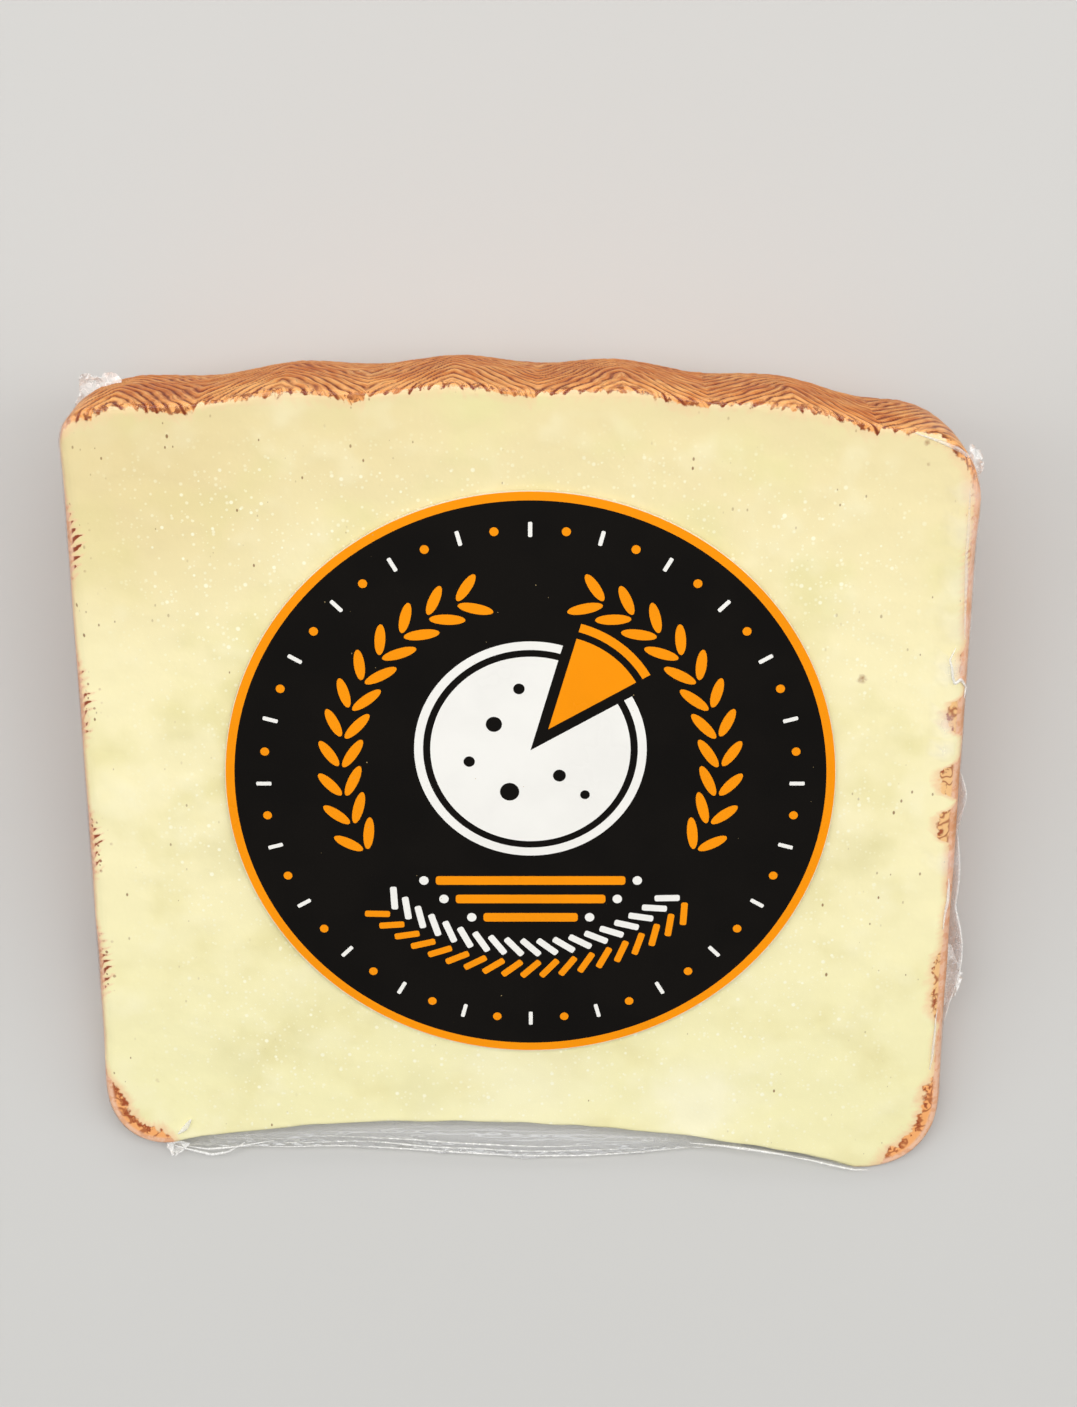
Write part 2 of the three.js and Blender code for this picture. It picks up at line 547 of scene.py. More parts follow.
@dataclass
class SpunWedge:
    """Makes closed wedge meshes: a cut face, its edge spun about the wheel's axis, the other cut face.

    Attributes:
        wheel: The wheel.
        rings: Widths of the rings of faces inside the edge of a cut face.
        pitch: The size of the squares that the rest of a cut face is divided into.
        rows: The wall's rows, as (number of rows, share of the wedge's angle).
    """

    wheel: Wheel
    rings: tuple[float, ...]
    pitch: float
    rows: tuple[tuple[int, float], ...]

    def make(self, name: str, outline: Outline) -> bpy.types.Object:
        """Makes one wedge.

        Args:
            name: The new piece's name.
            outline: The outline of its half section.

        Returns:
            The new piece, in object mode.
        """
        piece = self._cut_face(name, outline)
        self._spin_wall(piece)
        self._copy_face(piece)
        Bench.edit(piece, "VERT", "SELECT")
        bpy.ops.mesh.remove_doubles(threshold=Bench.merge_distance * MM)
        Bench.face_out()
        return piece

    def _cut_face(self, name: str, outline: Outline) -> bpy.types.Object:
        """The lower cut face, from a disc whose rim is laid on the outline.

        Args:
            name: The new piece's name.
            outline: The outline of its half section.

        Returns:
            The new piece, with rings of faces along its edge and squares inside them.
        """
        piece = Bench.disc(1.0, len(outline))
        piece.name = name
        piece.data.name = name
        x, rho = outline.points.T
        Bench.move(piece, self.wheel.row(x, rho, np.zeros(len(outline))))
        Bench.edit(piece, "FACE", "SELECT")
        for ring in self.rings:
            bpy.ops.mesh.inset(thickness=ring * MM, use_even_offset=True)
        bpy.ops.mesh.hide(unselected=True)
        for axis, values in ((Vector((1, 0, 0)), x), (Vector((0, 1, 0)), rho)):
            for place in np.arange(values.min(), values.max(), self.pitch):
                on_plane = self.wheel.row(place, place, 0.0).tolist()
                bpy.ops.mesh.select_all(action="SELECT")
                bpy.ops.mesh.bisect(plane_co=on_plane, plane_no=axis)
        bpy.ops.mesh.reveal(select=False)
        Bench.close()
        return piece

    def _spin_wall(self, piece: bpy.types.Object) -> None:
        """The outer wall, by spinning the edge of the lower cut face. A spin turns against its sign.

        Args:
            piece: The lower cut face.
        """
        Bench.edit(piece, "EDGE")
        bpy.ops.mesh.select_non_manifold(
            extend=False, use_wire=False, use_multi_face=False, use_non_contiguous=False, use_verts=False
        )
        for steps, share in self.rows:
            angle = -self.wheel.angle * share
            bpy.ops.mesh.spin(steps=steps, angle=angle, center=self.wheel.pivot, axis=(1, 0, 0))
        Bench.close()

    def _copy_face(self, piece: bpy.types.Object) -> None:
        """The upper cut face, a turned copy of the lower one.

        Args:
            piece: The lower cut face with its wall.
        """
        low = Bench.places(piece)[:, 2] < HAIR * MM
        flat = [all(low[corner] for corner in face.vertices) for face in piece.data.polygons]
        Bench.pick_faces(piece, np.array(flat))
        bpy.ops.mesh.duplicate()
        bpy.ops.transform.rotate(
            value=-self.wheel.angle, orient_axis="X", orient_type="GLOBAL", center_override=self.wheel.pivot
        )
        Bench.close()


@dataclass
class SurfacePlaces:
    """Where the vertices of a spun wedge lie on it.

    Attributes:
        x: Along the wheel's axis.
        rho: From the wheel's axis.
        share: Share of the wedge's angle, from the lower cut face.
        index: The nearest point of the outline.
        inward: How far inside the outline.
        thickness: The thickness of the wedge there, along the arc.
    """

    x: np.ndarray
    rho: np.ndarray
    share: np.ndarray
    index: np.ndarray
    inward: np.ndarray
    thickness: np.ndarray

    @classmethod
    def of(cls, piece: bpy.types.Object, wheel: Wheel, outline: Outline) -> "SurfacePlaces":
        """Finds the places of a piece's vertices.

        Args:
            piece: The piece.
            wheel: The wheel.
            outline: The outline that the piece was spun from.

        Returns:
            The places.
        """
        x, rho, turn = wheel.of_row(Bench.places(piece))
        tree = KDTree(len(outline))
        for index, (along, out) in enumerate(outline.points):
            tree.insert((along, out, 0.0), index)
        tree.balance()
        index = np.array([tree.find((along, out, 0.0))[1] for along, out in zip(x, rho)])
        offset = outline.points[index] - np.stack([x, rho], axis=1)
        inward = np.maximum(0.0, np.sum(offset * outline.normals[index], axis=1))
        return cls(x, rho, turn / wheel.angle, index, inward, rho * wheel.angle)

    @property
    def on_wall(self) -> np.ndarray:
        """1 on the wall and 0 on the cut faces."""
        return np.where(self.inward < HAIR, 1.0, 0.0)

    @property
    def upper(self) -> np.ndarray:
        """1 on the upper half and 0 on the lower one."""
        return np.where(self.share > 0.5, 1.0, 0.0)

    @property
    def over(self) -> np.ndarray:
        """The way over the surface from the lower edge: up the wall, then in over the upper cut face."""
        return self.share * self.thickness + (2.0 * self.upper - 1.0) * self.inward

    @property
    def from_face(self) -> np.ndarray:
        """The distance from the nearer cut face, along the arc."""
        return np.minimum(self.share, 1.0 - self.share) * self.thickness

    def away(self, x: float, rho: float) -> np.ndarray:
        """How far each vertex is from a point (x, rho)."""
        return np.hypot(self.x - x, self.rho - rho)

    def rounded(self, radius: np.ndarray) -> tuple[np.ndarray, np.ndarray]:
        """How the cut edges round off.

        Args:
            radius: The rounding's radius at each vertex.

        Returns:
            The new inward place and the distance from the nearest cut face, at each vertex.
        """
        from_face = self.from_face
        quarter = math.pi / 4
        up_wall = quarter * (1.0 + from_face / radius)
        over_face = quarter * (1.0 - self.inward / radius)
        bend = np.clip(np.where(self.inward < HAIR, up_wall, over_face), 0.0, math.pi / 2)
        inward = np.where(self.inward < radius, radius * (1.0 - np.sin(bend)), self.inward)
        from_face = np.where(from_face < radius, radius * (1.0 - np.cos(bend)), from_face)
        return inward, from_face

    def pushed(self, outline: Outline, out: np.ndarray) -> tuple[np.ndarray, np.ndarray]:
        """The x and rho of the vertices after a step out along the outline's normals."""
        step = out[:, None] * outline.normals[self.index]
        return self.x + step[:, 0], self.rho + step[:, 1]

    def turned(self, wheel: Wheel, from_face: np.ndarray) -> np.ndarray:
        """The turns of the vertices at distances from the nearer cut face."""
        turn = from_face / self.rho
        return np.where(self.share > 0.5, wheel.angle - turn, turn)


class Value:
    """A number or colour in a node graph: one output socket, with arithmetic that adds Math nodes."""

    def __init__(self, graph: "Graph", socket: bpy.types.NodeSocket) -> None:
        """Wraps a socket of a graph."""
        self.graph = graph
        self.socket = socket

    def __add__(self, other: "Value | float") -> "Value":
        """The sum."""
        return self.graph.math("ADD", self, other)

    def __radd__(self, other: float) -> "Value":
        """The sum with a number."""
        return self.graph.math("ADD", other, self)

    def __sub__(self, other: "Value | float") -> "Value":
        """The difference."""
        return self.graph.math("SUBTRACT", self, other)

    def __rsub__(self, other: float) -> "Value":
        """The difference from a number."""
        return self.graph.math("SUBTRACT", other, self)

    def __mul__(self, other: "Value | float") -> "Value":
        """The product."""
        return self.graph.math("MULTIPLY", self, other)

    def __rmul__(self, other: float) -> "Value":
        """The product with a number."""
        return self.graph.math("MULTIPLY", other, self)

    def __pow__(self, other: "Value | float") -> "Value":
        """The power."""
        return self.graph.math("POWER", self, other)

    def out(self, name: str) -> "Value":
        """Another output of the same node."""
        return Value(self.graph, self.socket.node.outputs[name])

    def most(self, other: "Value | float") -> "Value":
        """The larger of two values."""
        return self.graph.math("MAXIMUM", self, other)

    def least(self, other: "Value | float") -> "Value":
        """The smaller of two values."""
        return self.graph.math("MINIMUM", self, other)

    def from_middle(self) -> "Value":
        """How far a noise is from its middle value."""
        return self.graph.math("ABSOLUTE", self - 0.5)

    def zigzag(self) -> "Value":
        """A wave of straight slopes: 0 at whole numbers and 1 half way between them."""
        return 2.0 * self.graph.math("PINGPONG", self, 0.5)

    def step(self, low: "Value | float", high: "Value | float") -> "Value":
        """A smooth step from 0 to 1.

        Args:
            low: Where the step is 0.
            high: Where it is 1, on either side of low.

        Returns:
            The step.
        """
        settings = {"interpolation_type": "SMOOTHSTEP"}
        sockets = {"Value": self, "From Min": low, "From Max": high}
        return self.graph.node("ShaderNodeMapRange", settings, sockets, "Result")


class Graph:
    """The node graph of one material."""

    def __init__(self, name: str) -> None:
        """Starts the graph of a new material.

        Args:
            name: The material's name.
        """
        self.material = bpy.data.materials.new(name)
        self.material.use_nodes = True
        self.tree = self.material.node_tree
        self.tree.nodes.clear()
        self.place = self.node("ShaderNodeTexCoord", output="Object")

    def node(
        self,
        kind: str,
        settings: dict[str, Any] | None = None,
        sockets: dict[str | int, Any] | None = None,
        output: str | int = 0,
    ) -> Value:
        """Adds one node.

        Args:
            kind: The node's type.
            settings: Properties that are set first. "stops" are a ramp's (place, colour) pairs.
            sockets: Values or links of its input sockets.
            output: The output that is wanted.

        Returns:
            That output.
        """
        node = self.tree.nodes.new(kind)
        for name, setting in (settings or {}).items():
            if name == "stops":
                self._set_stops(node.color_ramp, setting)
            else:
                setattr(node, name, setting)
        for name, given in (sockets or {}).items():
            if isinstance(given, Value):
                self.tree.links.new(given.socket, node.inputs[name])
            else:
                node.inputs[name].default_value = given
        return Value(self, node.outputs[output])

    @staticmethod
    def _set_stops(ramp: bpy.types.ColorRamp, stops: Sequence[tuple[float, Colour]]) -> None:
        """Gives a ramp its stops.

        Args:
            ramp: The ramp, as new.
            stops: The place and colour of each stop.
        """
        while len(ramp.elements) < len(stops):
            ramp.elements.new(1.0)
        for element, (place, colour) in zip(ramp.elements, stops):
            element.position = place
            element.color = colour

    def math(self, operation: str, *values: "Value | float") -> Value:
        """Adds a Math node."""
        return self.node("ShaderNodeMath", {"operation": operation}, dict(enumerate(values)))

    def noted(self, name: str) -> Value:
        """A number that the mesh holds for each vertex."""
        return self.node("ShaderNodeAttribute", {"attribute_name": name}, output="Fac")

    def depth_y(self) -> Value:
        """The Y of Object coordinates, from the tip to the rind."""
        return self.node("ShaderNodeSeparateXYZ", sockets={"Vector": self.place}, output="Y")

    def vector(self, x: "Value | float", y: "Value | float", z: "Value | float" = 0.0) -> Value:
        """A vector of three values."""
        return self.node("ShaderNodeCombineXYZ", sockets={"X": x, "Y": y, "Z": z})

    def stretched(self, scale: tuple[float, float, float], turn: float = 0.0) -> Value:
        """Object coordinates, turned about Z and scaled along each axis."""
        sockets = {"Vector": self.place, "Rotation": (0.0, 0.0, turn), "Scale": scale}
        return self.node("ShaderNodeMapping", sockets=sockets)

    def noise(
        self, size: float, detail: float = 2.0, place: Value | None = None, rough: float = 0.5
    ) -> Value:
        """Noise from 0 to 1.

        Args:
            size: The size of its features, in millimetres on Object coordinates or in units of the place.
            detail: The number of finer octaves.
            place: Where it is read, or None for Object coordinates.
            rough: How strong the finer octaves are.

        Returns:
            The noise.
        """
        scale = 1.0 / size if place else PER_MM / size
        sockets = {"Vector": place or self.place, "Scale": scale, "Detail": detail, "Roughness": rough}
        return self.node("ShaderNodeTexNoise", sockets=sockets)

    def specks(self, size: float, radius: float, rarity: float, place: Value | None = None) -> Value:
        """Scattered specks.

        Args:
            size: The spacing of the places where a speck may be.
            radius: The largest radius of a speck.
            rarity: The share of places that stay empty.
            place: Object coordinates, stretched to make dashes of the specks, or None for plain ones.

        Returns:
            1 in a speck and 0 elsewhere.
        """
        sockets = {"Vector": place or self.place, "Scale": PER_MM / size}
        distance = self.node("ShaderNodeTexVoronoi", sockets=sockets)
        chance = self.node("ShaderNodeSeparateColor", sockets={"Color": distance.out("Color")})
        limit = (chance - rarity) * (radius / size / (1.0 - rarity))
        return distance.step(limit, limit * 0.55) * chance.step(rarity, rarity + 0.01)

    def blend(self, share: "Value | float", low: "Value | Colour", high: "Value | Colour") -> Value:
        """Mixes two colours, by the share of the second one."""
        return self.node("ShaderNodeMix", {"data_type": "RGBA"}, {0: share, 6: low, 7: high}, 2)

    def bump(self, height: Value, distance: float) -> Value:
        """A normal that a height bends, with the height's unit in millimetres."""
        sockets = {"Height": height, "Distance": distance * MM, "Strength": 1.0}
        return self.node("ShaderNodeBump", sockets=sockets)

    def finish(self, shader: Value) -> bpy.types.Material:
        """Ends the graph with a shader.

        Args:
            shader: The shader.

        Returns:
            The finished material.
        """
        end = self.tree.nodes.new("ShaderNodeOutputMaterial")
        self.tree.links.new(shader.socket, end.inputs["Surface"])
        return self.material

    def coated(self, sockets: dict[str | int, Any]) -> bpy.types.Material:
        """Ends the graph with a Principled shader of these sockets."""
        return self.finish(self.node("ShaderNodeBsdfPrincipled", sockets=sockets))


@dataclass(frozen=True)
class Spot:
    """A spot on the upper cut face, by its middle (x, rho), radius and strength."""

    x: float
    rho: float
    radius: float
    strength: float


@dataclass(frozen=True)
class CheeseFinish:
    """The cheese: pale paste on the cut faces and a brown rind with the mould's plaited mark."""

    wheel: Wheel
    paste: Colour = srgb(250, 240, 192)
    paste_by_rind: Colour = srgb(237, 220, 168)
    paste_by_tip: Colour = srgb(246, 239, 187)
    paste_shade: Colour = srgb(236, 226, 168)
    paste_pale: Colour = srgb(254, 248, 214)
    # Also the tone of the painted shade round the label
    olive: Colour = srgb(205, 196, 138)
    # The tone of the painted shade at the top left of the upper face
    warm: Colour = srgb(226, 204, 148)
    white_speck: Colour = srgb(255, 251, 222)
    dark_speck: Colour = srgb(122, 70, 28)
    brown_spot: Colour = srgb(150, 92, 52)
    peach: Colour = srgb(243, 205, 160)
    strand: Colour = srgb(217, 132, 63)
    strand_light: Colour = srgb(252, 190, 116)
    strand_deep: Colour = srgb(168, 80, 40)
    groove: Colour = srgb(122, 44, 16)
    edge: Colour = srgb(249, 180, 110)
    flank: Colour = srgb(206, 146, 98)
    flank_line: Colour = srgb(238, 192, 160)
    cell: Colour = srgb(242, 194, 134)
    toe: Colour = srgb(246, 174, 108)
    cell_line: Colour = srgb(150, 58, 28)
    notch: Colour = srgb(140, 58, 30)
    edge_blur: float = 0.18
    toe_from: Pair = (-0.036, -0.043)
    dash_turn: float = 0.5
    dash_stretch: tuple[float, float, float] = (1.0, 0.5, 1.0)
    brown_spots: tuple[Spot, ...] = (
        Spot(41.7, 73.1, 0.75, 0.8),
        Spot(48.0, 103.2, 0.55, 0.7),
        Spot(48.2, 100.5, 0.4, 0.7),
        Spot(-48.0, 16.5, 0.5, 0.8),
    )
    # Painted shade: the paste darkens towards the olive tone round the label, as if the label shaded it
    label_shade: tuple[Spot, ...] = (Spot(1.0, 59.4, 44.0, 0.9),)
    pale_patches: tuple[Spot, ...] = (Spot(22.8, 13.4, 10.0, 0.75), Spot(0.0, 15.0, 14.0, 0.4))
    # Painted shade: the top left of the upper face is darkened, where the light falls off
    painted_shade_patches: tuple[Spot, ...] = (Spot(-46.0, 99.0, 26.0, 0.5), Spot(-20.0, 104.0, 14.0, 0.2))
    olive_patches: tuple[Spot, ...] = (
        Spot(42.3, 49.4, 6.0, 0.26),
        Spot(-41.8, 64.5, 6.0, 0.14),
        Spot(-36.9, 50.1, 6.5, 0.26),
        Spot(-36.3, 19.8, 6.0, 0.18),
        Spot(-29.0, 24.2, 6.0, 0.16),
        Spot(-13.6, 15.3, 6.0, 0.16),
    )

    def material(self) -> bpy.types.Material:
        """Makes the material.

        Returns:
            The material, for a mesh with the notes of CheeseWedge.
        """
        g = Graph("cheese")
        depth = g.noted("rind_depth")
        groove = self._grooves(g)
        tooth = g.noted("notch").zigzag()
        ragged = g.noise(0.8, 3.0, rough=0.65)
        below = depth - self._edge(g, groove, tooth, ragged)
        rind_share = below.step(self.edge_blur, -self.edge_blur)
        paste = self._stained(g, self._paste(g, depth, ragged), depth, below)
        flank = self._flank(g, depth, below, tooth)
        rind = g.blend(g.noted("plait").step(0.2, 0.8), flank, self._strands(g, below, groove))
        return g.coated({
            "Base Color": g.blend(rind_share, paste, rind),
            "Roughness": 0.38 + 0.2 * rind_share,
            "Specular IOR Level": 0.2,
            "Normal": g.bump(self._relief(g, depth, tooth), 1.0),
        })

    @staticmethod
    def _grooves(g: Graph) -> Value:
        """The grooves between the strands on the rim, some deep and some faint.

        Args:
            g: The graph.

        Returns:
            1 in a deep groove and 0 on a strand.
        """
        strand = g.noted("strand")
        fade = g.noise(2.6, 1.0)
        wide = strand.zigzag().step(0.5, 0.12) * (0.2 + 0.8 * fade.step(0.34, 0.58))
        fine = (2.3 * strand + 0.9 * g.noise(1.5, 2.0)).zigzag().step(0.4, 0.0) * fade.step(0.6, 0.35)
        return wide.most(0.55 * fine)

    @staticmethod
    def _edge(g: Graph, groove: Value, tooth: Value, ragged: Value) -> Value:
        """Where the rind's ragged edge runs.

        Args:
            g: The graph.
            groove: The grooves between the strands on the rim.
            tooth: The wave of the notches on the flanks.
            ragged: Fine noise.

        Returns:
            How far in over the cut face the edge runs, negative down the wall.
        """
        plait, marks, lap = (g.noted(name) for name in ("plait", "marks", "lap"))
        lobes = g.noise(3.0, 1.0)
        rim = lap + 1.7 * (lobes - 0.5) + 1.7 * (ragged - 0.5) + 0.3 * groove
        spike = (tooth ** 1.3) * (0.3 + 0.7 * lobes.step(0.2, 0.6)) * (0.3 + 1.4 * ragged)
        wide = 1.8 * (g.noise(1.5, 1.0) - 0.5) * lap.step(1.6, 2.6)
        flank = lap - 1.1 + marks * (0.9 + 3.2 * spike) + 0.9 * (ragged - 0.5) + wide
        return rim * plait + flank * (1.0 - plait)

    @staticmethod
    def _relief(g: Graph, depth: Value, tooth: Value) -> Value:
        """The fine relief: soft swells on the paste, strands and notches on the rind.

        Args:
            g: The graph.
            depth: The way in over the cut face from its edge, negative down the wall.
            tooth: The wave of the notches on the flanks.

        Returns:
            The height, in millimetres.
        """
        on_wall = depth.step(0.6, -0.4)
        crown = (g.noted("strand").zigzag() * g.noted("plait") + tooth * g.noted("marks")) * on_wall
        return g.noise(6.0, 1.0) * 0.35 + g.noise(1.8, 2.0) * (0.07 + 0.2 * on_wall) + 0.16 * crown

    def _spots(self, g: Graph, spots: Sequence[Spot], ragged: Value | float) -> Value:
        """Several spots with ragged edges.

        Args:
            g: The graph.
            spots: The spots.
            ragged: The noise that makes the edges ragged.

        Returns:
            The share of the spots.
        """
        share = None
        for spot in spots:
            middle = self.wheel.on_face(spot.x, spot.rho, 0.0)
            sockets = {0: g.place, 1: middle}
            away = g.node("ShaderNodeVectorMath", {"operation": "DISTANCE"}, sockets, "Value")
            reach = away * (PER_MM / spot.radius) + 1.5 * (ragged - 0.5)
            one = reach.step(1.0, 0.1) * spot.strength
            share = share.most(one) if share else one
        return share

    def _ground(self, g: Graph) -> Value:
        """The mottled colour of the paste under its specks, with painted shade round the label and at the
        top left.

        Args:
            g: The graph.

        Returns:
            The colour.
        """
        y = g.depth_y()
        cloud = g.noise(6.0, 2.0)
        colour = g.blend(y.step(0.0, 0.052), self.paste, self.paste_by_rind)
        colour = g.blend(y.step(0.0, -0.045), colour, self.paste_by_tip)
        colour = g.blend(g.noise(10.0, 3.0).step(0.45, 0.75) * 0.9, colour, self.paste_shade)
        colour = g.blend(cloud.step(0.5, 0.8) * 0.35, colour, self.paste_pale)
        patches = (
            (self.olive_patches, cloud, self.olive),
            # painted shade round the label
            (self.label_shade, 0.45 + 0.1 * cloud, self.olive),
            # painted shade at the top left
            (self.painted_shade_patches, 0.5, self.warm),
            (self.pale_patches, cloud, self.paste_pale),
        )
        for spots, ragged, tone in patches:
            colour = g.blend(self._spots(g, spots, ragged), colour, tone)
        return colour

    def _paste(self, g: Graph, depth: Value, ragged: Value) -> Value:
        """The colour of the paste: mottled, with fine white specks, dark ones and a few stains.

        Args:
            g: The graph.
            depth: The way in over the cut face from its edge.
            ragged: Fine noise.

        Returns:
            The colour.
        """
        crowd = g.noise(14.0, 1.0).step(0.15, 0.5) * depth.step(2.0, 16.0)
        whites = (g.specks(0.6, 0.28, 0.3) * 0.6).most(g.specks(1.2, 0.36, 0.5))
        whites = whites * (0.3 + 0.6 * crowd) * depth.step(1.0, 8.0)
        colour = g.blend(whites, self._ground(g), self.white_speck)
        dash = g.stretched(self.dash_stretch, self.dash_turn)
        near = depth.step(26.0, 2.0) * g.noise(6.0, 1.0).step(0.4, 0.65)
        darks = g.specks(1.5, 0.22, 0.9, dash).most(g.specks(0.8, 0.19, 0.72, dash) * near)
        colour = g.blend(darks * 0.8, colour, self.dark_speck)
        return g.blend(self._spots(g, self.brown_spots, ragged), colour, self.brown_spot)

    def _stained(self, g: Graph, paste: Value, depth: Value, below: Value) -> Value:
        """The paste with what the rind leaves on it: a warm line beside it, and stains by the notches.

        Args:
            g: The graph.
            paste: The colour of the paste.
            depth: The way in over the cut face from its edge.
            below: The way in from the rind's ragged edge.

        Returns:
            The colour.
        """
        warm = below.step(1.6, 0.0) * (0.85 - 0.35 * g.noted("plait"))
        colour = g.blend(warm, paste, self.peach)
        stains = g.specks(0.8, 0.3, 0.3) * g.noted("marks").step(0.15, 0.6) * depth.step(4.2, 1.0)
        return g.blend(stains * 0.8, colour, self.notch)

    def _strands(self, g: Graph, below: Value, groove: Value) -> Value:
        """The colour of the rim: bright strands with painted highlights on their crowns, paler to the cut
        edge, with thin dark grooves.

        Args:
            g: The graph.
            below: The way down from the rind's ragged edge, negative.
            groove: The grooves between the strands.

        Returns:
            The colour.
        """
        fibre = g.noise(1.0, 3.0, g.vector(g.noted("strand") * 4.0, g.noted("run") * 0.3))
        patch = g.noise(2.5, 3.0)
        crown = g.noted("strand").zigzag()
        # The crown term paints the middle of each strand lighter: painted highlight on the round strands
        tone = 0.45 * fibre + 0.3 * patch + 0.3 * g.noise(8.0, 1.0) + 0.2 * crown - 0.12
        stops = [(0.3, self.strand_deep), (0.48, self.strand), (0.68, self.strand_light)]
        colour = g.node("ShaderNodeValToRGB", {"stops": stops}, {"Fac": tone}, "Color")
        near = below.step(-5.5, -0.3)
        colour = g.blend(below.step(-4.0, -10.0) * 0.3, colour, self.strand_deep)
        colour = g.blend(near * patch.step(0.25, 0.6) * 0.85, colour, self.edge)
        flecks = g.specks(0.9, 0.3, 0.5) * below.step(-2.5, -0.2)
        colour = g.blend(flecks * 0.6, colour, self.peach)
        gash = below.step(-2.0, -0.3) * g.noise(0.9, 3.0, rough=0.6).step(0.51, 0.58)
        return g.blend(groove.most(gash * 0.85) * (0.8 + 0.17 * near), colour, self.groove)

    def _flank(self, g: Graph, depth: Value, below: Value, tooth: Value) -> Value:
        """The colour of the flanks: a rosy line at the cut edge, outlined cells on the face, bands below.

        Args:
            g: The graph.
            depth: The way in over the cut face from its edge, negative down the wall.
            below: The way down from the rind's ragged edge, negative.
            tooth: The wave of the notches.

        Returns:
            The colour.
        """
        blots = g.noise(1.1, 3.0, rough=0.65)
        dark = blots.step(0.46, 0.58)
        wall = g.blend(below.step(-4.5, -1.5), self.flank, self.flank_line)
        wall = g.blend(dark * 0.4, wall, self.strand)
        veins = g.noise(1.7, 1.0).from_middle().step(0.07, 0.015)
        outline = below.step(-1.0, -0.5) * blots.step(0.49, 0.57)
        cell = g.blend(g.depth_y().step(*self.toe_from), self.cell, self.toe)
        cell = g.blend(outline.most(veins * 0.8) * 0.9, cell, self.cell_line)
        colour = g.blend(depth.step(1.1, 0.6), cell, wall)
        worn = 0.2 + 0.7 * (below + 9.0 * blots).step(-7.0, 2.0)
        beside = depth.step(0.1, 0.55).most(depth.step(-1.0, -2.0) * worn)
        band = g.noted("marks").step(0.1, 0.4 + 0.5 * depth.step(-1.0, -4.0))
        bands = band * (0.5 + 0.45 * dark.most(tooth.step(0.4, 0.8))) * beside
        return g.blend(bands, colour, self.notch)


@dataclass(frozen=True)
class FilmFinish:
    """The clear shrink film: a thin shine, with a white haze where it is loose or creased, and painted
    sheen in patches by the right edge.
    """

    body: Colour = (0.95, 0.95, 0.96, 1.0)
    crumple: Colour = (0.98, 0.97, 0.94, 1.0)
    streak_stretch: tuple[float, float, float] = (0.05, 1.0, 1.0)
    streak_width: float = 1.3

    def material(self) -> bpy.types.Material:
        """Makes the material of the tight skin and of the web at the tip.

        Returns:
            The material, for a mesh with the notes of FilmBag.
        """
        g = Graph("film")
        haze = g.noted("haze")
        painted_sheen = g.noted("painted_sheen")
        line = g.noise(self.streak_width * MM, 2.0, g.stretched(self.streak_stretch))
        streak = line.from_middle().step(0.03, 0.0)
        shine = g.node("ShaderNodeFresnel", sockets={"IOR": 1.33})
        # Painted sheen makes the film whitish and opaque in patches by the right edge
        seen = haze * (0.12 + 0.12 * line + 0.4 * streak) + 0.45 * painted_sheen
        share = shine.least(0.015 + 0.4 * g.noted("veil")) + seen.least(0.85)
        return self._over_clear(g, share, {
            "Base Color": self.body,
            "Metallic": 1.0 - haze.most(painted_sheen).step(0.0, 0.2),
            "Roughness": 0.1 + 0.2 * haze,
            "Normal": g.bump(haze * line, 0.35),
        })

    def crumpled(self) -> bpy.types.Material:
        """Makes the material of crumpled tucks, where many folds look white, and of the crease beads, whose
        white paints the highlights that the creases catch.

        Returns:
            The material, for a mesh that notes how far it is shown.
        """
        g = Graph("crumpled film")
        fold = g.noise(1.2, 2.0)
        crease = fold.from_middle().step(0.05, 0.0)
        share = (0.5 + 0.2 * fold + 0.3 * crease) * g.noted("shown")
        return self._over_clear(g, share, {
            "Base Color": self.crumple,
            "Roughness": 0.12 + 0.15 * fold,
            "Normal": g.bump(fold * 0.35, 1.0),
        })

    @staticmethod
    def _over_clear(g: Graph, share: Value, sockets: dict[str | int, Any]) -> bpy.types.Material:
        """Ends a graph with a film that shows by a share, and is clear for the rest.

        Args:
            g: The graph.
            share: How far the film shows.
            sockets: The sockets of what shows.

        Returns:
            The finished material.
        """
        seen = g.node("ShaderNodeBsdfPrincipled", sockets=sockets)
        clear = g.node("ShaderNodeBsdfTransparent")
        return g.finish(g.node("ShaderNodeMixShader", sockets={0: share, 1: clear, 2: seen}))


class Ink(Enum):
    """The printing inks of the label, with their screen colours."""

    BLACK = (17, 14, 11)
    ORANGE = (251, 150, 8)
    WHITE = (244, 242, 236)
    PAPER = (240, 226, 196)


@dataclass(frozen=True)
class InkFinish:
    """One printing ink under gloss varnish, with fine dust."""

    ink: Ink
    cloudy: float = 0.0
    dust: Colour = srgb(190, 165, 115)
    deep_share: float = 0.7

    def material(self) -> bpy.types.Material:
        """Makes the material.

        Returns:
            The material.
        """
        g = Graph(f"{self.ink.name.lower()} ink")
        cloud = g.noise(9.0, 3.0)
        tone = srgb(*self.ink.value)
        deep = tuple(self.deep_share * channel for channel in tone[:3]) + (1.0,)
        colour = g.blend(cloud.step(0.35, 0.7) * self.cloudy, tone, deep)
        dust = g.specks(1.5, 0.11, 0.75)
        return g.coated({
            "Base Color": g.blend(dust * 0.7, colour, self.dust),
            "Roughness": 0.2 + 0.12 * cloud + 0.3 * dust,
            "Specular IOR Level": 0.22,
            "Normal": g.bump(g.noise(6.0, 2.0) * 0.04, 1.0),
        })


@dataclass(frozen=True)
class RindMark:
    """A stretch of rind at a cut edge, by its middle (x, rho), half length and strength or width."""

    x: float
    rho: float
    half: float
    strength: float


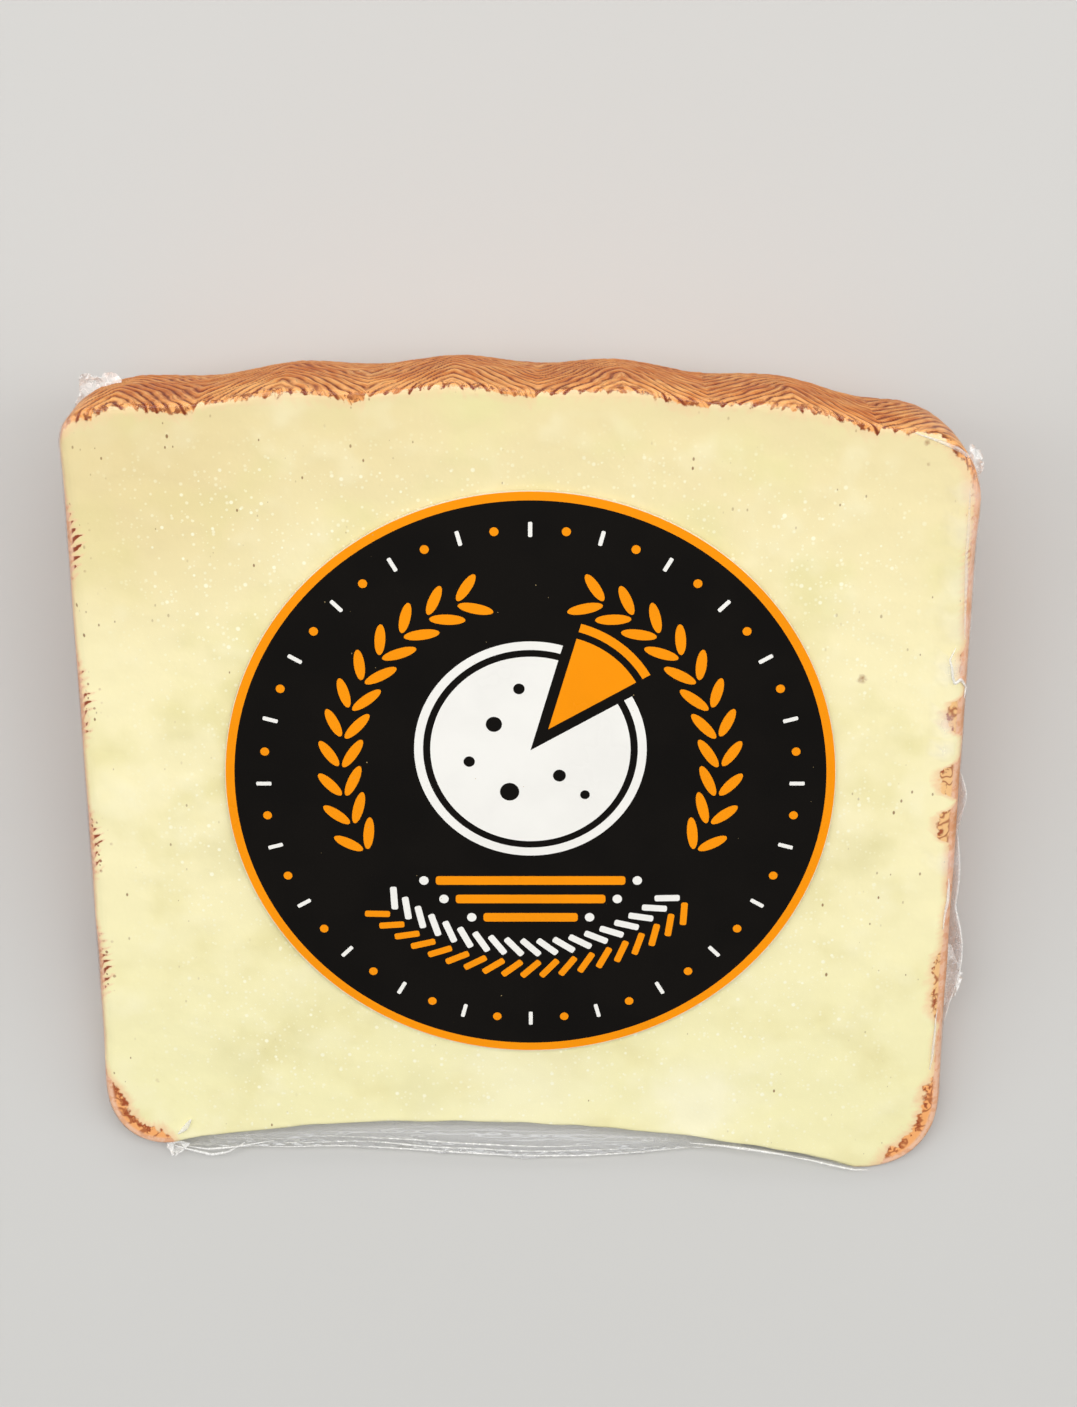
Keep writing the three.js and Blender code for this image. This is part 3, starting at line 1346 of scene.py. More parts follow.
@dataclass
class CheeseWedge:
    """The cheese inside the film."""

    wheel: Wheel
    section: HalfSection = field(default_factory=HalfSection)
    inset: float = 0.15
    spacing: float = 0.34
    flank_spacing: float = 0.8
    tip_spacing: float = 0.9
    toe_spacing: float = 0.5
    rings: tuple[float, ...] = (0.2, 0.25, 0.35, 0.45, 0.55, 0.7)
    pitch: float = 1.6
    edge_rows: tuple[int, float] = (5, 0.03)
    wall_rows: tuple[int, float] = (78, 0.94)
    flank_round: float = 2.2
    rind_round: float = 0.8
    tip_round: float = 0.5
    round_blur: int = 15
    tip_wear: float = 0.6
    tip_blur: int = 9
    plait_start: float = 0.25
    plait_width: float = 20.2
    plait_ridge_x: float = 12.0
    plait_ridge_height: float = 0.42
    strand_width: float = 1.5
    strand_slope: float = 0.62
    strand_depth: float = 0.4
    strand_lap: float = 1.4
    fold_lap: float = 0.2
    notch_width: float = 0.95
    notch_slope: float = 0.4
    unevenness: float = 0.12
    sag: float = 0.22
    sag_from: float = 4.0
    flank_from: float = 50.5
    strip_flat: float = 1.8
    strips: tuple[RindMark, ...] = (
        RindMark(54.0, 101.5, 6.0, 1.0),
        RindMark(55.0, 89.0, 18.0, 1.3),
        RindMark(55.0, 75.0, 3.4, 1.9),
        RindMark(55.0, 68.1, 3.2, 3.4),
        RindMark(55.0, 59.4, 3.2, 3.7),
        RindMark(55.0, 53.2, 3.4, 3.8),
        RindMark(55.0, 47.0, 6.0, 1.7),
        RindMark(55.0, 39.0, 6.0, 1.5),
        RindMark(55.0, 30.5, 8.0, 2.8),
        RindMark(55.0, 20.0, 7.0, 1.7),
        RindMark(52.5, 10.0, 11.0, 3.1),
        RindMark(-52.5, 10.0, 10.0, 2.9),
        RindMark(-54.0, 106.0, 3.5, 0.9),
    )
    marks: tuple[RindMark, ...] = (
        RindMark(-55.0, 90.6, 6.5, 1.0),
        RindMark(-55.0, 69.8, 7.5, 0.95),
        RindMark(-55.0, 50.5, 6.5, 0.9),
        RindMark(-55.0, 33.5, 7.0, 0.85),
        RindMark(-51.0, 9.5, 7.5, 0.12),
        RindMark(55.0, 88.0, 14.0, 0.2),
        RindMark(55.0, 64.0, 14.0, 0.1),
        RindMark(55.0, 34.0, 10.0, 0.12),
        RindMark(52.0, 10.0, 10.0, 0.1),
    )

    def build(self) -> bpy.types.Object:
        """Models the cheese and dresses it.

        Returns:
            The finished piece.
        """
        spacing = dict.fromkeys(Side, self.spacing) | {Side.TIP: self.tip_spacing}
        spacing |= dict.fromkeys(FLANKS, self.flank_spacing)
        spacing |= dict.fromkeys(TOES, self.toe_spacing)
        outline = Outline.of(self.section, spacing, self.inset)
        wall = (self.edge_rows, self.wall_rows, self.edge_rows)
        piece = SpunWedge(self.wheel, self.rings, self.pitch, wall).make("cheese", outline)
        places = SurfacePlaces.of(piece, self.wheel, outline)
        self._press(piece, places, outline)
        Bench.smooth(piece)
        piece.data.materials.append(CheeseFinish(self.wheel).material())
        return piece

    def _press(self, piece: bpy.types.Object, places: SurfacePlaces, outline: Outline) -> None:
        """Presses the mould's mark into the rind and notes what the finish needs.

        Args:
            piece: The plain wedge.
            places: Where its vertices lie.
            outline: The outline that it was spun from.
        """
        over = places.over
        along = outline.along[places.index]
        flow, drift = rows(places.x, over), rows(along, over)
        plait = outline.plait(self.plait_start)[places.index]
        strand = self._strand(places.x, over) + wander(flow, 8.0, 1) + 0.3 * wander(flow, 2.2, 2)
        notch = (along + self.notch_slope * over) / self.notch_width + 0.6 * wander(drift, 3.0, 3)
        pressed = self.ridge(places.x) + self._furrow(strand) + self.unevenness * wander(flow, 2.2, 4)
        on_tip = outline.profile({Side.TIP: FULL}, self.tip_blur)[places.index]
        worn = on_tip * self.tip_wear * (0.5 + 0.5 * wander(drift, 4.0, 7))
        self._shape(piece, places, outline, plait * pressed - worn)
        notes = {
            "rind_depth": self._rind_depth(places, outline),
            "plait": plait,
            "marks": self._mark_strength(places),
            "strand": strand,
            "notch": notch,
            "run": over,
            "lap": self._lap(places, plait),
        }
        for name, values in notes.items():
            Bench.note(piece, name, values)

    def _shape(
        self, piece: bpy.types.Object, places: SurfacePlaces, outline: Outline, relief: np.ndarray
    ) -> None:
        """Moves the vertices: relief on the wall, rounded cut edges and a slightly sunken upper face.

        Args:
            piece: The plain wedge.
            places: Where its vertices lie.
            outline: The outline that it was spun from.
            relief: How far the wall stands out at each vertex.
        """
        rounds = dict.fromkeys(Side, steady(self.rind_round))
        rounds |= dict.fromkeys(FLANKS, steady(self.flank_round))
        rounds |= dict.fromkeys((Side.TIP, *TOES), steady(self.tip_round))
        inward, from_face = places.rounded(outline.profile(rounds, self.round_blur)[places.index])
        drift = rows(outline.along[places.index], places.over)
        uneven = places.on_wall * self.unevenness * wander(drift, 7.0, 5)
        x, rho = places.pushed(outline, places.inward - inward + relief * fade_in(inward) + uneven)
        sunken = self.sag * (0.5 + 0.5 * wander(rows(places.x, places.rho), 14.0, 6))
        on_top = places.upper * np.clip(places.inward / self.sag_from, 0.0, 1.0)
        turn = places.turned(self.wheel, from_face + self.inset + on_top * sunken)
        Bench.move(piece, self.wheel.row(x, rho, turn))

    def _across(self, x: np.ndarray) -> np.ndarray:
        """The distance from the nearest ridge of the plait."""
        half = self.plait_width / 2
        return np.abs(np.mod(x - self.plait_ridge_x + half, self.plait_width) - half)

    def _lap(self, places: SurfacePlaces, plait: np.ndarray) -> np.ndarray:
        """How far the rind laps over the cut edge.

        On the rim, strands lap more and more to the right of each ridge, up to the next fold. On the
        right, rind shows under the film round the shoulder and in a strip down the flank.

        Args:
            places: Where the vertices lie.
            plait: The strength of the plaited mark at each vertex.

        Returns:
            The lap at each vertex.
        """
        share = np.mod((places.x - self.plait_ridge_x) / self.plait_width, 1.0)
        lap = plait * np.where(share < 0.5, self.strand_lap * 2.0 * share, self.fold_lap)
        for strip in self.strips:
            on_flank = places.x * math.copysign(1.0, strip.x) > self.flank_from
            along = np.where(on_flank, np.abs(places.rho - strip.rho), places.away(strip.x, strip.rho))
            width = np.minimum(1.0, self.strip_flat * swell(along, strip.half))
            lap = np.maximum(lap, strip.strength * width)
        return lap

    def ridge(self, x: np.ndarray) -> np.ndarray:
        """The height of the plait's ridges."""
        return self.plait_ridge_height * np.cos(2 * np.pi * self._across(x) / self.plait_width)

    def _strand(self, x: np.ndarray, over: np.ndarray) -> np.ndarray:
        """The count of strands, away from the ridges and up the rind. Grooves are at whole numbers."""
        return (self._across(x) - self.strand_slope * over) / self.strand_width

    def _furrow(self, strand: np.ndarray) -> np.ndarray:
        """The height of round strands with sharp grooves between them, by the count of strands."""
        return self.strand_depth * (np.sqrt(np.abs(np.sin(np.pi * strand))) - 1.0)

    def _mark_strength(self, places: SurfacePlaces) -> np.ndarray:
        """The strength of the notched bands.

        Args:
            places: Where the vertices lie.

        Returns:
            The strength at each vertex.
        """
        strength = np.zeros(len(places.x))
        for mark in self.marks:
            near = swell(places.away(mark.x, mark.rho), mark.half)
            strength = np.maximum(strength, mark.strength * near)
        return strength

    @staticmethod
    def _rind_depth(places: SurfacePlaces, outline: Outline) -> np.ndarray:
        """The way over the surface from the rind's edge.

        Args:
            places: Where the vertices lie.
            outline: The outline that the piece was spun from.

        Returns:
            The way in over the cut faces and the bare tip, and negative down the rind.
        """
        bare = outline.on_tip
        edges = outline.along[~bare]
        to_rind = np.array([np.min(np.abs(edges - along)) for along in outline.along])
        to_rind = np.where(bare, to_rind, 0.0)[places.index]
        over_tip = np.hypot(places.inward, to_rind)
        return np.where(to_rind > 0.0, over_tip, places.inward - places.from_face)


@dataclass(frozen=True)
class FilmFold:
    """A place where the film stands off the wall, by its middle (x, rho), half length and reach."""

    x: float
    rho: float
    half: float
    reach: float


@dataclass
class FilmBag:
    """The shrink film: a skin round the cheese, with a web across the hollow tip and loose folds."""

    wheel: Wheel
    section: HalfSection = field(default_factory=HalfSection)
    spacing: float = 0.8
    tip_spacing: float = 0.4
    rings: tuple[float, ...] = (0.3, 0.5, 0.8, 1.2)
    pitch: float = 2.5
    edge_rows: tuple[int, float] = (4, 0.04)
    wall_rows: tuple[int, float] = (18, 0.92)
    edge_round: float = 0.8
    round_blur: int = 9
    ridge_slack: float = 0.1
    web_chord: float = 6.1
    web_bulge: float = 1.4
    web_middle: float = 3.0
    web_half: float = 26.0
    folds: tuple[FilmFold, ...] = (
        FilmFold(55.0, 55.7, 4.6, 1.3),
        FilmFold(55.0, 45.0, 9.0, 0.9),
        FilmFold(55.0, 34.0, 10.0, 1.9),
    )
    fold_lean: float = 2.0
    fold_from: float = 15.0
    tent_power: float = 0.8
    # Patches of painted sheen on the upper face, by the right edge
    painted_sheens: tuple[Spot, ...] = (
        Spot(52.0, 67.1, 2.4, 0.8),
        Spot(52.8, 74.4, 2.6, 0.7),
        Spot(52.4, 63.8, 1.8, 0.7),
        Spot(53.6, 48.2, 2.4, 0.6),
        Spot(53.2, 97.0, 2.6, 0.45),
        Spot(53.2, 92.0, 3.2, 0.45),
        Spot(53.3, 86.0, 3.6, 0.4),
        Spot(53.4, 80.0, 3.2, 0.4),
    )
    full_haze: float = 1.8
    pleat_width: float = 2.4
    pleat_depth: float = 0.25
    pleat_slant: float = 1.6
    full_pleat: float = 2.0

    def build(self) -> bpy.types.Object:
        """Models the film's skin and dresses it.

        Returns:
            The finished piece.
        """
        outline = Outline.of(self.section, dict.fromkeys(Side, self.spacing) | {Side.TIP: self.tip_spacing})
        wall = (self.edge_rows, self.wall_rows, self.edge_rows)
        piece = SpunWedge(self.wheel, self.rings, self.pitch, wall).make("film_bag", outline)
        places = SurfacePlaces.of(piece, self.wheel, outline)
        self._stretch(piece, places, outline)
        Bench.smooth(piece)
        piece.data.materials.append(FilmFinish().material())
        return piece

    def _stretch(self, piece: bpy.types.Object, places: SurfacePlaces, outline: Outline) -> None:
        """Draws the skin over the plait's ridges, across the tip and out into its folds.

        Args:
            piece: The plain wedge.
            places: Where its vertices lie.
            outline: The outline that it was spun from.
        """
        cheese = CheeseWedge(self.wheel)
        plait = outline.plait(0.0)[places.index]
        rounds = dict.fromkeys(Side, steady(self.edge_round))
        rounds |= dict.fromkeys(FLANKS, steady(cheese.flank_round))
        inward, from_face = places.rounded(outline.profile(rounds, self.round_blur)[places.index])
        tent = self.tent(places.share, places.rho)
        reach = self.reach(*outline.points.T, outline.on_tip)[places.index]
        flow = rows(places.x, places.rho, 6.0 * places.share)
        tight = plait * (cheese.ridge(places.x) + self.ridge_slack) * fade_in(inward)
        loose = places.on_wall * reach * tent * (1.0 + 0.15 * wander(flow, 5.0, 11))
        x, rho = places.pushed(outline, places.inward - inward + tight + loose)
        wave = 2 * np.pi * (x + self.pleat_slant * rho) / self.pleat_width + 2.0 * wander(flow, 6.0, 12)
        pleated = np.clip(reach / self.full_pleat, 0.0, 1.0) * tent
        turn = places.turned(self.wheel, from_face + self.pleat_depth * (1.0 - np.sin(wave)) * pleated)
        Bench.move(piece, self.wheel.row(x, rho, turn))
        Bench.note(piece, "painted_sheen", self._painted_sheen(places))
        Bench.note(piece, "veil", (1.0 - plait) * places.on_wall)
        Bench.note(piece, "haze", np.clip(reach * tent / self.full_haze, 0.0, 1.0) * places.on_wall)

    def _painted_sheen(self, places: SurfacePlaces) -> np.ndarray:
        """The painted sheen of the film: whitish patches on the upper face by the right edge, painted where
        the film's shine shows.

        Args:
            places: Where the vertices lie.

        Returns:
            The strength of the painted sheen at each vertex.
        """
        painted_sheen = np.zeros(len(places.x))
        for spot in self.painted_sheens:
            near = swell(places.away(spot.x, spot.rho), spot.radius)
            painted_sheen = np.maximum(painted_sheen, spot.strength * near)
        return painted_sheen * places.upper

    def web_edge(self, x: np.ndarray) -> np.ndarray:
        """How far from the axis the web's free edge runs."""
        return self.web_chord - self.web_bulge * swell(x - self.web_middle, self.web_half)

    def tent(self, share: np.ndarray, rho: np.ndarray) -> np.ndarray:
        """How the film stands off over the thickness: most half way at the tip, higher up on the flanks."""
        lean = np.where(rho > self.fold_from, self.fold_lean, 1.0)
        return np.maximum(0.0, np.sin(np.pi * np.clip(share, 0.0, 1.0) ** lean)) ** self.tent_power

    def reach(self, x: np.ndarray, rho: np.ndarray, on_tip: np.ndarray) -> np.ndarray:
        """How far the film stands off the cheese where it stands off most.

        Args:
            x: Places along the wheel's axis.
            rho: Their distances from it.
            on_tip: Whether each one is on the tip.

        Returns:
            The distance at each place.
        """
        reach = np.where(on_tip, np.maximum(0.0, rho - self.web_edge(x)), 0.0)
        for fold in self.folds:
            away = np.hypot(x - fold.x, rho - fold.rho)
            reach = np.maximum(reach, fold.reach * swell(away, fold.half))
        return reach


@dataclass(frozen=True)
class Tuft:
    """A crumpled tuck of film, by its root (x, rho, share of the thickness), outward direction and size."""

    x: float
    rho: float
    share: float
    out: Pair
    length: float
    reach: float


@dataclass
class FilmTucks:
    """The gathered ends of the film, crumpled to white."""

    wheel: Wheel
    columns: int = 40
    lines: int = 28
    root_depth: float = 0.4
    swing: float = 0.3
    fold_size: float = 2.4
    fold_share: float = 0.3
    crease_size: float = 0.9
    crease_height: float = 0.25
    tufts: tuple[Tuft, ...] = (
        Tuft(-51.9, 105.3, 0.6, (-0.5, 0.87), 6.6, 4.0),
        Tuft(54.5, 99.4, 0.86, (1.0, 0.12), 4.4, 1.5),
        Tuft(54.6, 31.0, 0.7, (1.0, 0.0), 10.5, 2.6),
        Tuft(-46.1, 6.9, 0.86, (-0.15, -1.0), 3.4, 1.8),
    )

    def build(self) -> bpy.types.Object:
        """Models the tucks and dresses them.

        Returns:
            The finished piece.
        """
        made = [self._tuft(number, tuft) for number, tuft in enumerate(self.tufts)]
        piece = Bench.join(made, "film_tucks")
        Bench.smooth(piece)
        piece.data.materials.append(FilmFinish().crumpled())
        return piece

    def _tuft(self, number: int, tuft: Tuft) -> bpy.types.Object:
        """One tuck: a sheet, gathered at its root and crumpled.

        Args:
            number: The tuck's number, which varies its waves.
            tuft: The tuck.

        Returns:
            The tuck at its place.
        """
        bpy.ops.object.select_all(action="DESELECT")
        bpy.ops.mesh.primitive_grid_add(x_subdivisions=self.columns, y_subdivisions=self.lines, size=MM)
        piece = bpy.context.object
        flat = Bench.places(piece) * PER_MM
        u, v = flat[:, 0], flat[:, 1] + 0.5
        ripple = 1.0 + 0.08 * np.sin(11.0 * v + 5.0 * u + number)
        gather = (1.0 - (0.97 * v) ** 2) ** 0.75 * ripple
        wave = np.sin(9.0 * u + 2.0 * number) + np.sin(8.0 * v + 3.0 * u)
        rise = self.swing * tuft.reach * wave * v
        Bench.move(piece, rows(u * tuft.length * gather, v * tuft.reach - self.root_depth, rise) * MM)
        Bench.crumple(piece, f"tuck {number} fold", self.fold_size, self.fold_share * tuft.reach)
        Bench.crumple(piece, f"tuck {number} crease", self.crease_size, self.crease_height)
        Bench.note(piece, "shown", np.ones(len(u)))
        Bench.settle(piece, self._root(tuft))
        return piece

    def _root(self, tuft: Tuft) -> Matrix:
        """Where a tuck grows from.

        Args:
            tuft: The tuck.

        Returns:
            The place and the turn of a sheet that grows along Y.
        """
        turn = tuft.share * self.wheel.angle
        sine, cosine = math.sin(turn), math.cos(turn)
        out = Vector((tuft.out[0], tuft.out[1] * cosine, tuft.out[1] * sine)).normalized()
        along = out.cross(Vector((0.0, -sine, cosine))).normalized()
        basis = Matrix((along, out, along.cross(out))).transposed().to_4x4()
        return Matrix.Translation(self.wheel.row(tuft.x, tuft.rho, turn)) @ basis


@dataclass(frozen=True)
class Crease:
    """A crease of the film, drawn as a white bead: a real raised crease with the highlight that it catches
    painted white.

    Attributes:
        width: Its width in the middle.
        shown: How clearly it shows.
        points: The points (x, rho) that it runs through.
        share: The share of the wedge's angle where it runs, 1 on the upper cut face.
    """

    width: float
    shown: float
    points: tuple[Pair, ...]
    share: float = 1.0


@dataclass
class FilmCreaseHighlights:
    """Creases that stand up from the film, drawn as white beads that paint the highlights they catch."""

    wheel: Wheel
    section: HalfSection = field(default_factory=HalfSection)
    spacing: float = 0.5
    edge_round: float = 0.8
    flank_round: float = 2.2
    flank_from: float = 53.2
    steps_a_point: int = 6
    unevenness: float = 0.12
    web_lines: int = 3
    web_width: float = 0.26
    web_ends: Pair = (-40.0, 27.0)
    web_drawn_in: Pair = (6.0, 9.0)
    web_gap: float = 0.75
    web_steps: int = 40
    fold_width: float = 0.3
    fold_share: float = 0.8
    fold_ends: Pair = (62.0, 24.5)
    fold_steps: int = 60
    clear_of_film: float = 0.05
    thin_end: float = 0.25
    # Creases with painted highlights along them
    creases: tuple[Crease, ...] = (
        Crease(0.5, 0.45, ((46.4, 104.4), (49.4, 103.4), (51.8, 102.3), (53.3, 101.2), (53.4, 98.6))),
        Crease(0.4, 0.3, ((53.4, 98.6), (53.5, 88.6), (54.0, 78.3))),
        Crease(
            0.4, 0.75, ((52.9, 77.3), (52.3, 75.7), (53.1, 72.6), (53.9, 73.1), (54.6, 71.8), (54.5, 70.5))
        ),
        Crease(0.4, 0.6, ((54.1, 45.9), (54.1, 43.1), (53.7, 38.8))),
        Crease(0.35, 0.5, ((53.7, 27.2), (53.4, 21.3), (53.2, 18.3))),
        Crease(0.7, 0.8, ((-43.9, 10.8), (-44.6, 9.6), (-45.7, 8.6))),
        Crease(0.4, 0.9, ((-46.3, 6.6), (-44.4, 6.0), (-41.5, 5.2), (-39.2, 5.6), (-37.0, 7.0)), 0.84),
        Crease(0.3, 0.8, ((-44.6, 6.6), (-42.0, 6.1), (-38.5, 6.4), (-33.0, 7.4)), 0.9),
        Crease(0.4, 0.8, ((22.0, 7.1), (26.0, 6.7), (30.0, 6.1), (34.0, 5.4), (37.0, 4.7)), 0.95),
        Crease(0.35, 0.7, ((35.0, 5.1), (38.0, 4.5), (41.0, 3.7), (44.0, 3.0), (46.0, 3.0)), 0.95),
    )

    def build(self) -> bpy.types.Object:
        """Models the creases and dresses them.

        Returns:
            The finished piece.
        """
        outline = Outline.of(self.section, dict.fromkeys(Side, self.spacing))
        made = []
        # Each crease is a white bead: the crease is real and its highlight is painted
        for crease in self.creases:
            made.append(self._bead(crease.width, crease.shown, self._along(crease, outline)))
        # Painted highlights along the web's long creases and the folds' free edge
        for number in range(self.web_lines):
            made.append(self._bead(self.web_width, 1.0, self._on_web(number)))
        made.append(self._bead(self.fold_width, 1.0, self._on_fold()))
        piece = Bench.join(made, "film_creases")
        Bench.smooth(piece)
        piece.data.materials.append(FilmFinish().crumpled())
        return piece

    def _along(self, crease: Crease, outline: Outline) -> np.ndarray:
        """Places along a crease. On the upper cut face, they follow its rounded edge down.

        Args:
            crease: The crease.
            outline: The outline of the film.

        Returns:
            The places in the row frame, in metres.
        """
        count = len(crease.points)
        run = np.linspace(0.0, count - 1.0, self.steps_a_point * count)
        x, rho = (np.interp(run, range(count), values) for values in zip(*crease.points))
        x = x + self.unevenness * wander(rows(x, rho), 1.6, 21)
        if crease.share < 1.0:
            return self.wheel.row(x, rho, self.wheel.angle * crease.share)
        away = np.hypot(x[:, None] - outline.points[:, 0], rho[:, None] - outline.points[:, 1])
        radius = np.where(np.abs(x) > self.flank_from, self.flank_round, self.edge_round)
        over = np.clip(radius - away.min(axis=1), 0.0, radius)
        drop = radius - np.sqrt(radius ** 2 - over ** 2)
        return np.array([self.wheel.on_face(*place) for place in zip(x, rho, -drop)])

    def _on_web(self, number: int) -> np.ndarray:
        """Places along a long crease of the web.

        Args:
            number: The crease's number, from the web's free edge.

        Returns:
            The places in the row frame, in metres.
        """
        start = self.web_ends[0] + self.web_drawn_in[0] * number
        end = self.web_ends[1] - self.web_drawn_in[1] * number
        x = np.linspace(start, end, self.web_steps)
        behind = self.clear_of_film + self.web_gap * number
        rho = FilmBag(self.wheel).web_edge(x) + behind + 0.3 * wander(rows(x, 9.0 * number), 9.0, 22)
        return self.wheel.row(x, rho, self.wheel.angle * (0.55 + 0.1 * number))

    def _on_fold(self) -> np.ndarray:
        """Places along the free line of the folds that stand off the right flank.

        Returns:
            The places in the row frame, in metres.
        """
        bag = FilmBag(self.wheel)
        rho = np.linspace(*self.fold_ends, self.fold_steps)
        flank = np.full(len(rho), self.section.wheel_height / 2)
        off = bag.reach(flank, rho, np.zeros(len(rho), dtype=bool))
        x = flank + off * bag.tent(np.full(len(rho), self.fold_share), rho) + self.clear_of_film
        return self.wheel.row(x, rho, self.wheel.angle * self.fold_share)

    def _bead(self, width: float, shown: float, places: np.ndarray) -> bpy.types.Object:
        """A thin bead along places, from a curve that thins out to both ends.

        Args:
            width: The bead's width in the middle.
            shown: How clearly it shows.
            places: The places in the row frame, in metres.

        Returns:
            The bead, as a mesh.
        """
        bpy.ops.object.select_all(action="DESELECT")
        bpy.ops.curve.primitive_nurbs_path_add(radius=MM)
        bead = bpy.context.object
        spline = bead.data.splines[0]
        spline.points.add(len(places) - len(spline.points))
        for point, place, share in zip(spline.points, places, np.linspace(0.0, np.pi, len(places))):
            point.co = (*place, 1.0)
            point.radius = self.thin_end + (1.0 - self.thin_end) * math.sin(share)
        spline.resolution_u = 3
        bead.data.bevel_depth = width / 2 * MM
        bead.data.bevel_resolution = 2
        bead.data.use_fill_caps = True
        bpy.ops.object.convert(target="MESH")
        bead = bpy.context.object
        Bench.note(bead, "shown", np.full(len(bead.data.vertices), shown))
        return bead


@dataclass
class PrintedLabel:
    """The round label: black, with an orange ring and a printed design of a cheese wheel in a wreath.

    The design's places are from the label's middle, with Y towards the rind.
    """

    wheel: Wheel
    x: float = 1.0
    rho: float = 59.4
    diameter: float = 76.0
    thickness: float = 0.3
    lift: float = 0.08
    cut_edge: float = 0.07
    ring_width: float = 1.1
    ink_height: float = 0.03
    disc_corners: int = 180
    dot_corners: int = 20
    round_corners: int = 24
    bar_corner: float = 0.3
    bead_count: int = 48
    bead_reach: float = 33.2
    bead_radius: float = 0.55
    bead_bar: Pair = (1.9, 0.5)
    sign_y: float = 4.5
    sign_rings: tuple[Pair, ...] = ((14.4, 13.3), (12.4, 0.0))
    cut_aim: float = math.radians(52.0)
    cut_half: float = math.radians(22.0)
    cut_drawn: float = 3.6
    eyes: tuple[tuple[float, float, float], ...] = (
        (-4.5, 3.5, 1.0),
        (-7.6, -1.5, 0.7),
        (-2.6, -5.6, 1.2),
        (3.6, -3.4, 0.8),
        (6.8, -6.0, 0.6),
        (-1.4, 8.2, 0.7),
    )
    wreath_y: float = 2.0
    wreath_reach: float = 23.5
    leaf_pairs: int = 11
    leaf_from: float = math.radians(-29.0)
    leaf_step: float = math.radians(9.6)
    leaf_gap: float = 2.6
    leaf_width: float = 0.66
    leaf_kinds: tuple[Pair, ...] = ((0.6, 2.2), (-0.6, 2.0))
    band_rows: tuple[tuple[Ink, float, float], ...] = ((Ink.ORANGE, 28.0, 0.75), (Ink.WHITE, 24.9, -0.75))
    band_half: int = 9
    band_step: float = math.radians(4.9)
    band_bar: Pair = (3.2, 0.85)
    long_bars: tuple[float, ...] = (24.0, 19.0, 12.0)
    long_bar_width: float = 1.2
    long_bar_y: float = -13.4
    long_bar_step: float = 2.6
    dot_radius: float = 0.6
    dot_gap: float = 1.5
    inks: dict[Ink, bpy.types.Material] = field(default_factory=dict)
    parts: list[bpy.types.Object] = field(default_factory=list)

    def build(self) -> bpy.types.Object:
        """Models the label flat, joins its print to it and lays it on the upper cut face.

        Returns:
            The finished piece.
        """
        self.inks = {ink: InkFinish(ink, 1.0 if ink is Ink.BLACK else 0.15).material() for ink in Ink}
        self.parts = [self._disc()]
        self._beads()
        self._wheel_sign()
        self._wreath()
        self._plait_band()
        piece = Bench.join(self.parts, "printed_label")
        turn = Matrix.Rotation(self.wheel.angle, 4, "X")
        Bench.settle(piece, turn, Matrix.Translation(self.wheel.on_face(self.x, self.rho, self.lift)))
        Bench.smooth(piece)
        return piece

    @staticmethod
    def _raise(height: float) -> None:
        """Extrudes the selected faces of the piece in edit mode upwards."""
        bpy.ops.mesh.extrude_region_move(TRANSFORM_OT_translate={"value": (0.0, 0.0, height * MM)})

    def _disc(self) -> bpy.types.Object:
        """The label's disc, with its cut edge, its ring and its black field as rings of faces.

        Returns:
            The disc, flat about the origin.
        """
        disc = Bench.disc(self.diameter / 2, self.disc_corners)
        for ink in (Ink.PAPER, Ink.ORANGE, Ink.BLACK):
            disc.data.materials.append(self.inks[ink])
        Bench.edit(disc, "FACE", "SELECT")
        self._raise(self.thickness)
        for slot, width in ((1, self.cut_edge), (2, self.ring_width)):
            bpy.ops.mesh.inset(thickness=width * MM)
            disc.active_material_index = slot
            bpy.ops.object.material_slot_assign()
        Bench.face_out()
        return disc

    def _print(self, ink: Ink, shape: bpy.types.Object, places: Sequence[Matrix], level: int = 0) -> None:
        """Gives a flat shape the thickness of an ink, and lays a copy of it at each place.

        Args:
            ink: The ink.
            shape: A flat shape about the origin, which becomes the first copy.
            places: Where the copies go, flat about the label's middle.
            level: How many inks they lie over.
        """
        Bench.edit(shape, "FACE", "SELECT")
        self._raise(2 * self.ink_height)
        Bench.face_out()
        shape.data.materials.append(self.inks[ink])
        copies = [shape] + [Bench.copy(shape) for _ in places[1:]]
        height = self.thickness + (level - 1) * self.ink_height
        for piece, place in zip(copies, places):
            Bench.settle(piece, place, Matrix.Translation((0.0, 0.0, height * MM)))
        self.parts += copies

    def _bar(self, length: float, width: float) -> bpy.types.Object:
        """A flat bar along X about the origin, with round corners.

        Args:
            length: Its length.
            width: Its width.

        Returns:
            The bar.
        """
        bpy.ops.object.select_all(action="DESELECT")
        bpy.ops.mesh.primitive_plane_add(size=MM)
        bar = bpy.context.object
        Bench.settle(bar, Matrix.Diagonal((length, width, 1.0, 1.0)))
        Bench.edit(bar, "VERT", "SELECT")
        bpy.ops.mesh.bevel(offset=self.bar_corner * width * MM, segments=3, affect="VERTICES")
        Bench.close()
        return bar

    @staticmethod
    def _at(x: float, y: float, turn: float = 0.0, size: float = 1.0) -> Matrix:
        """A place on the flat label, turned about its own middle and scaled in its plane."""
        turned = Matrix.Rotation(turn, 4, "Z") @ Matrix.Diagonal((size, size, 1.0, 1.0))
        return Matrix.Translation((x * MM, y * MM, 0.0)) @ turned

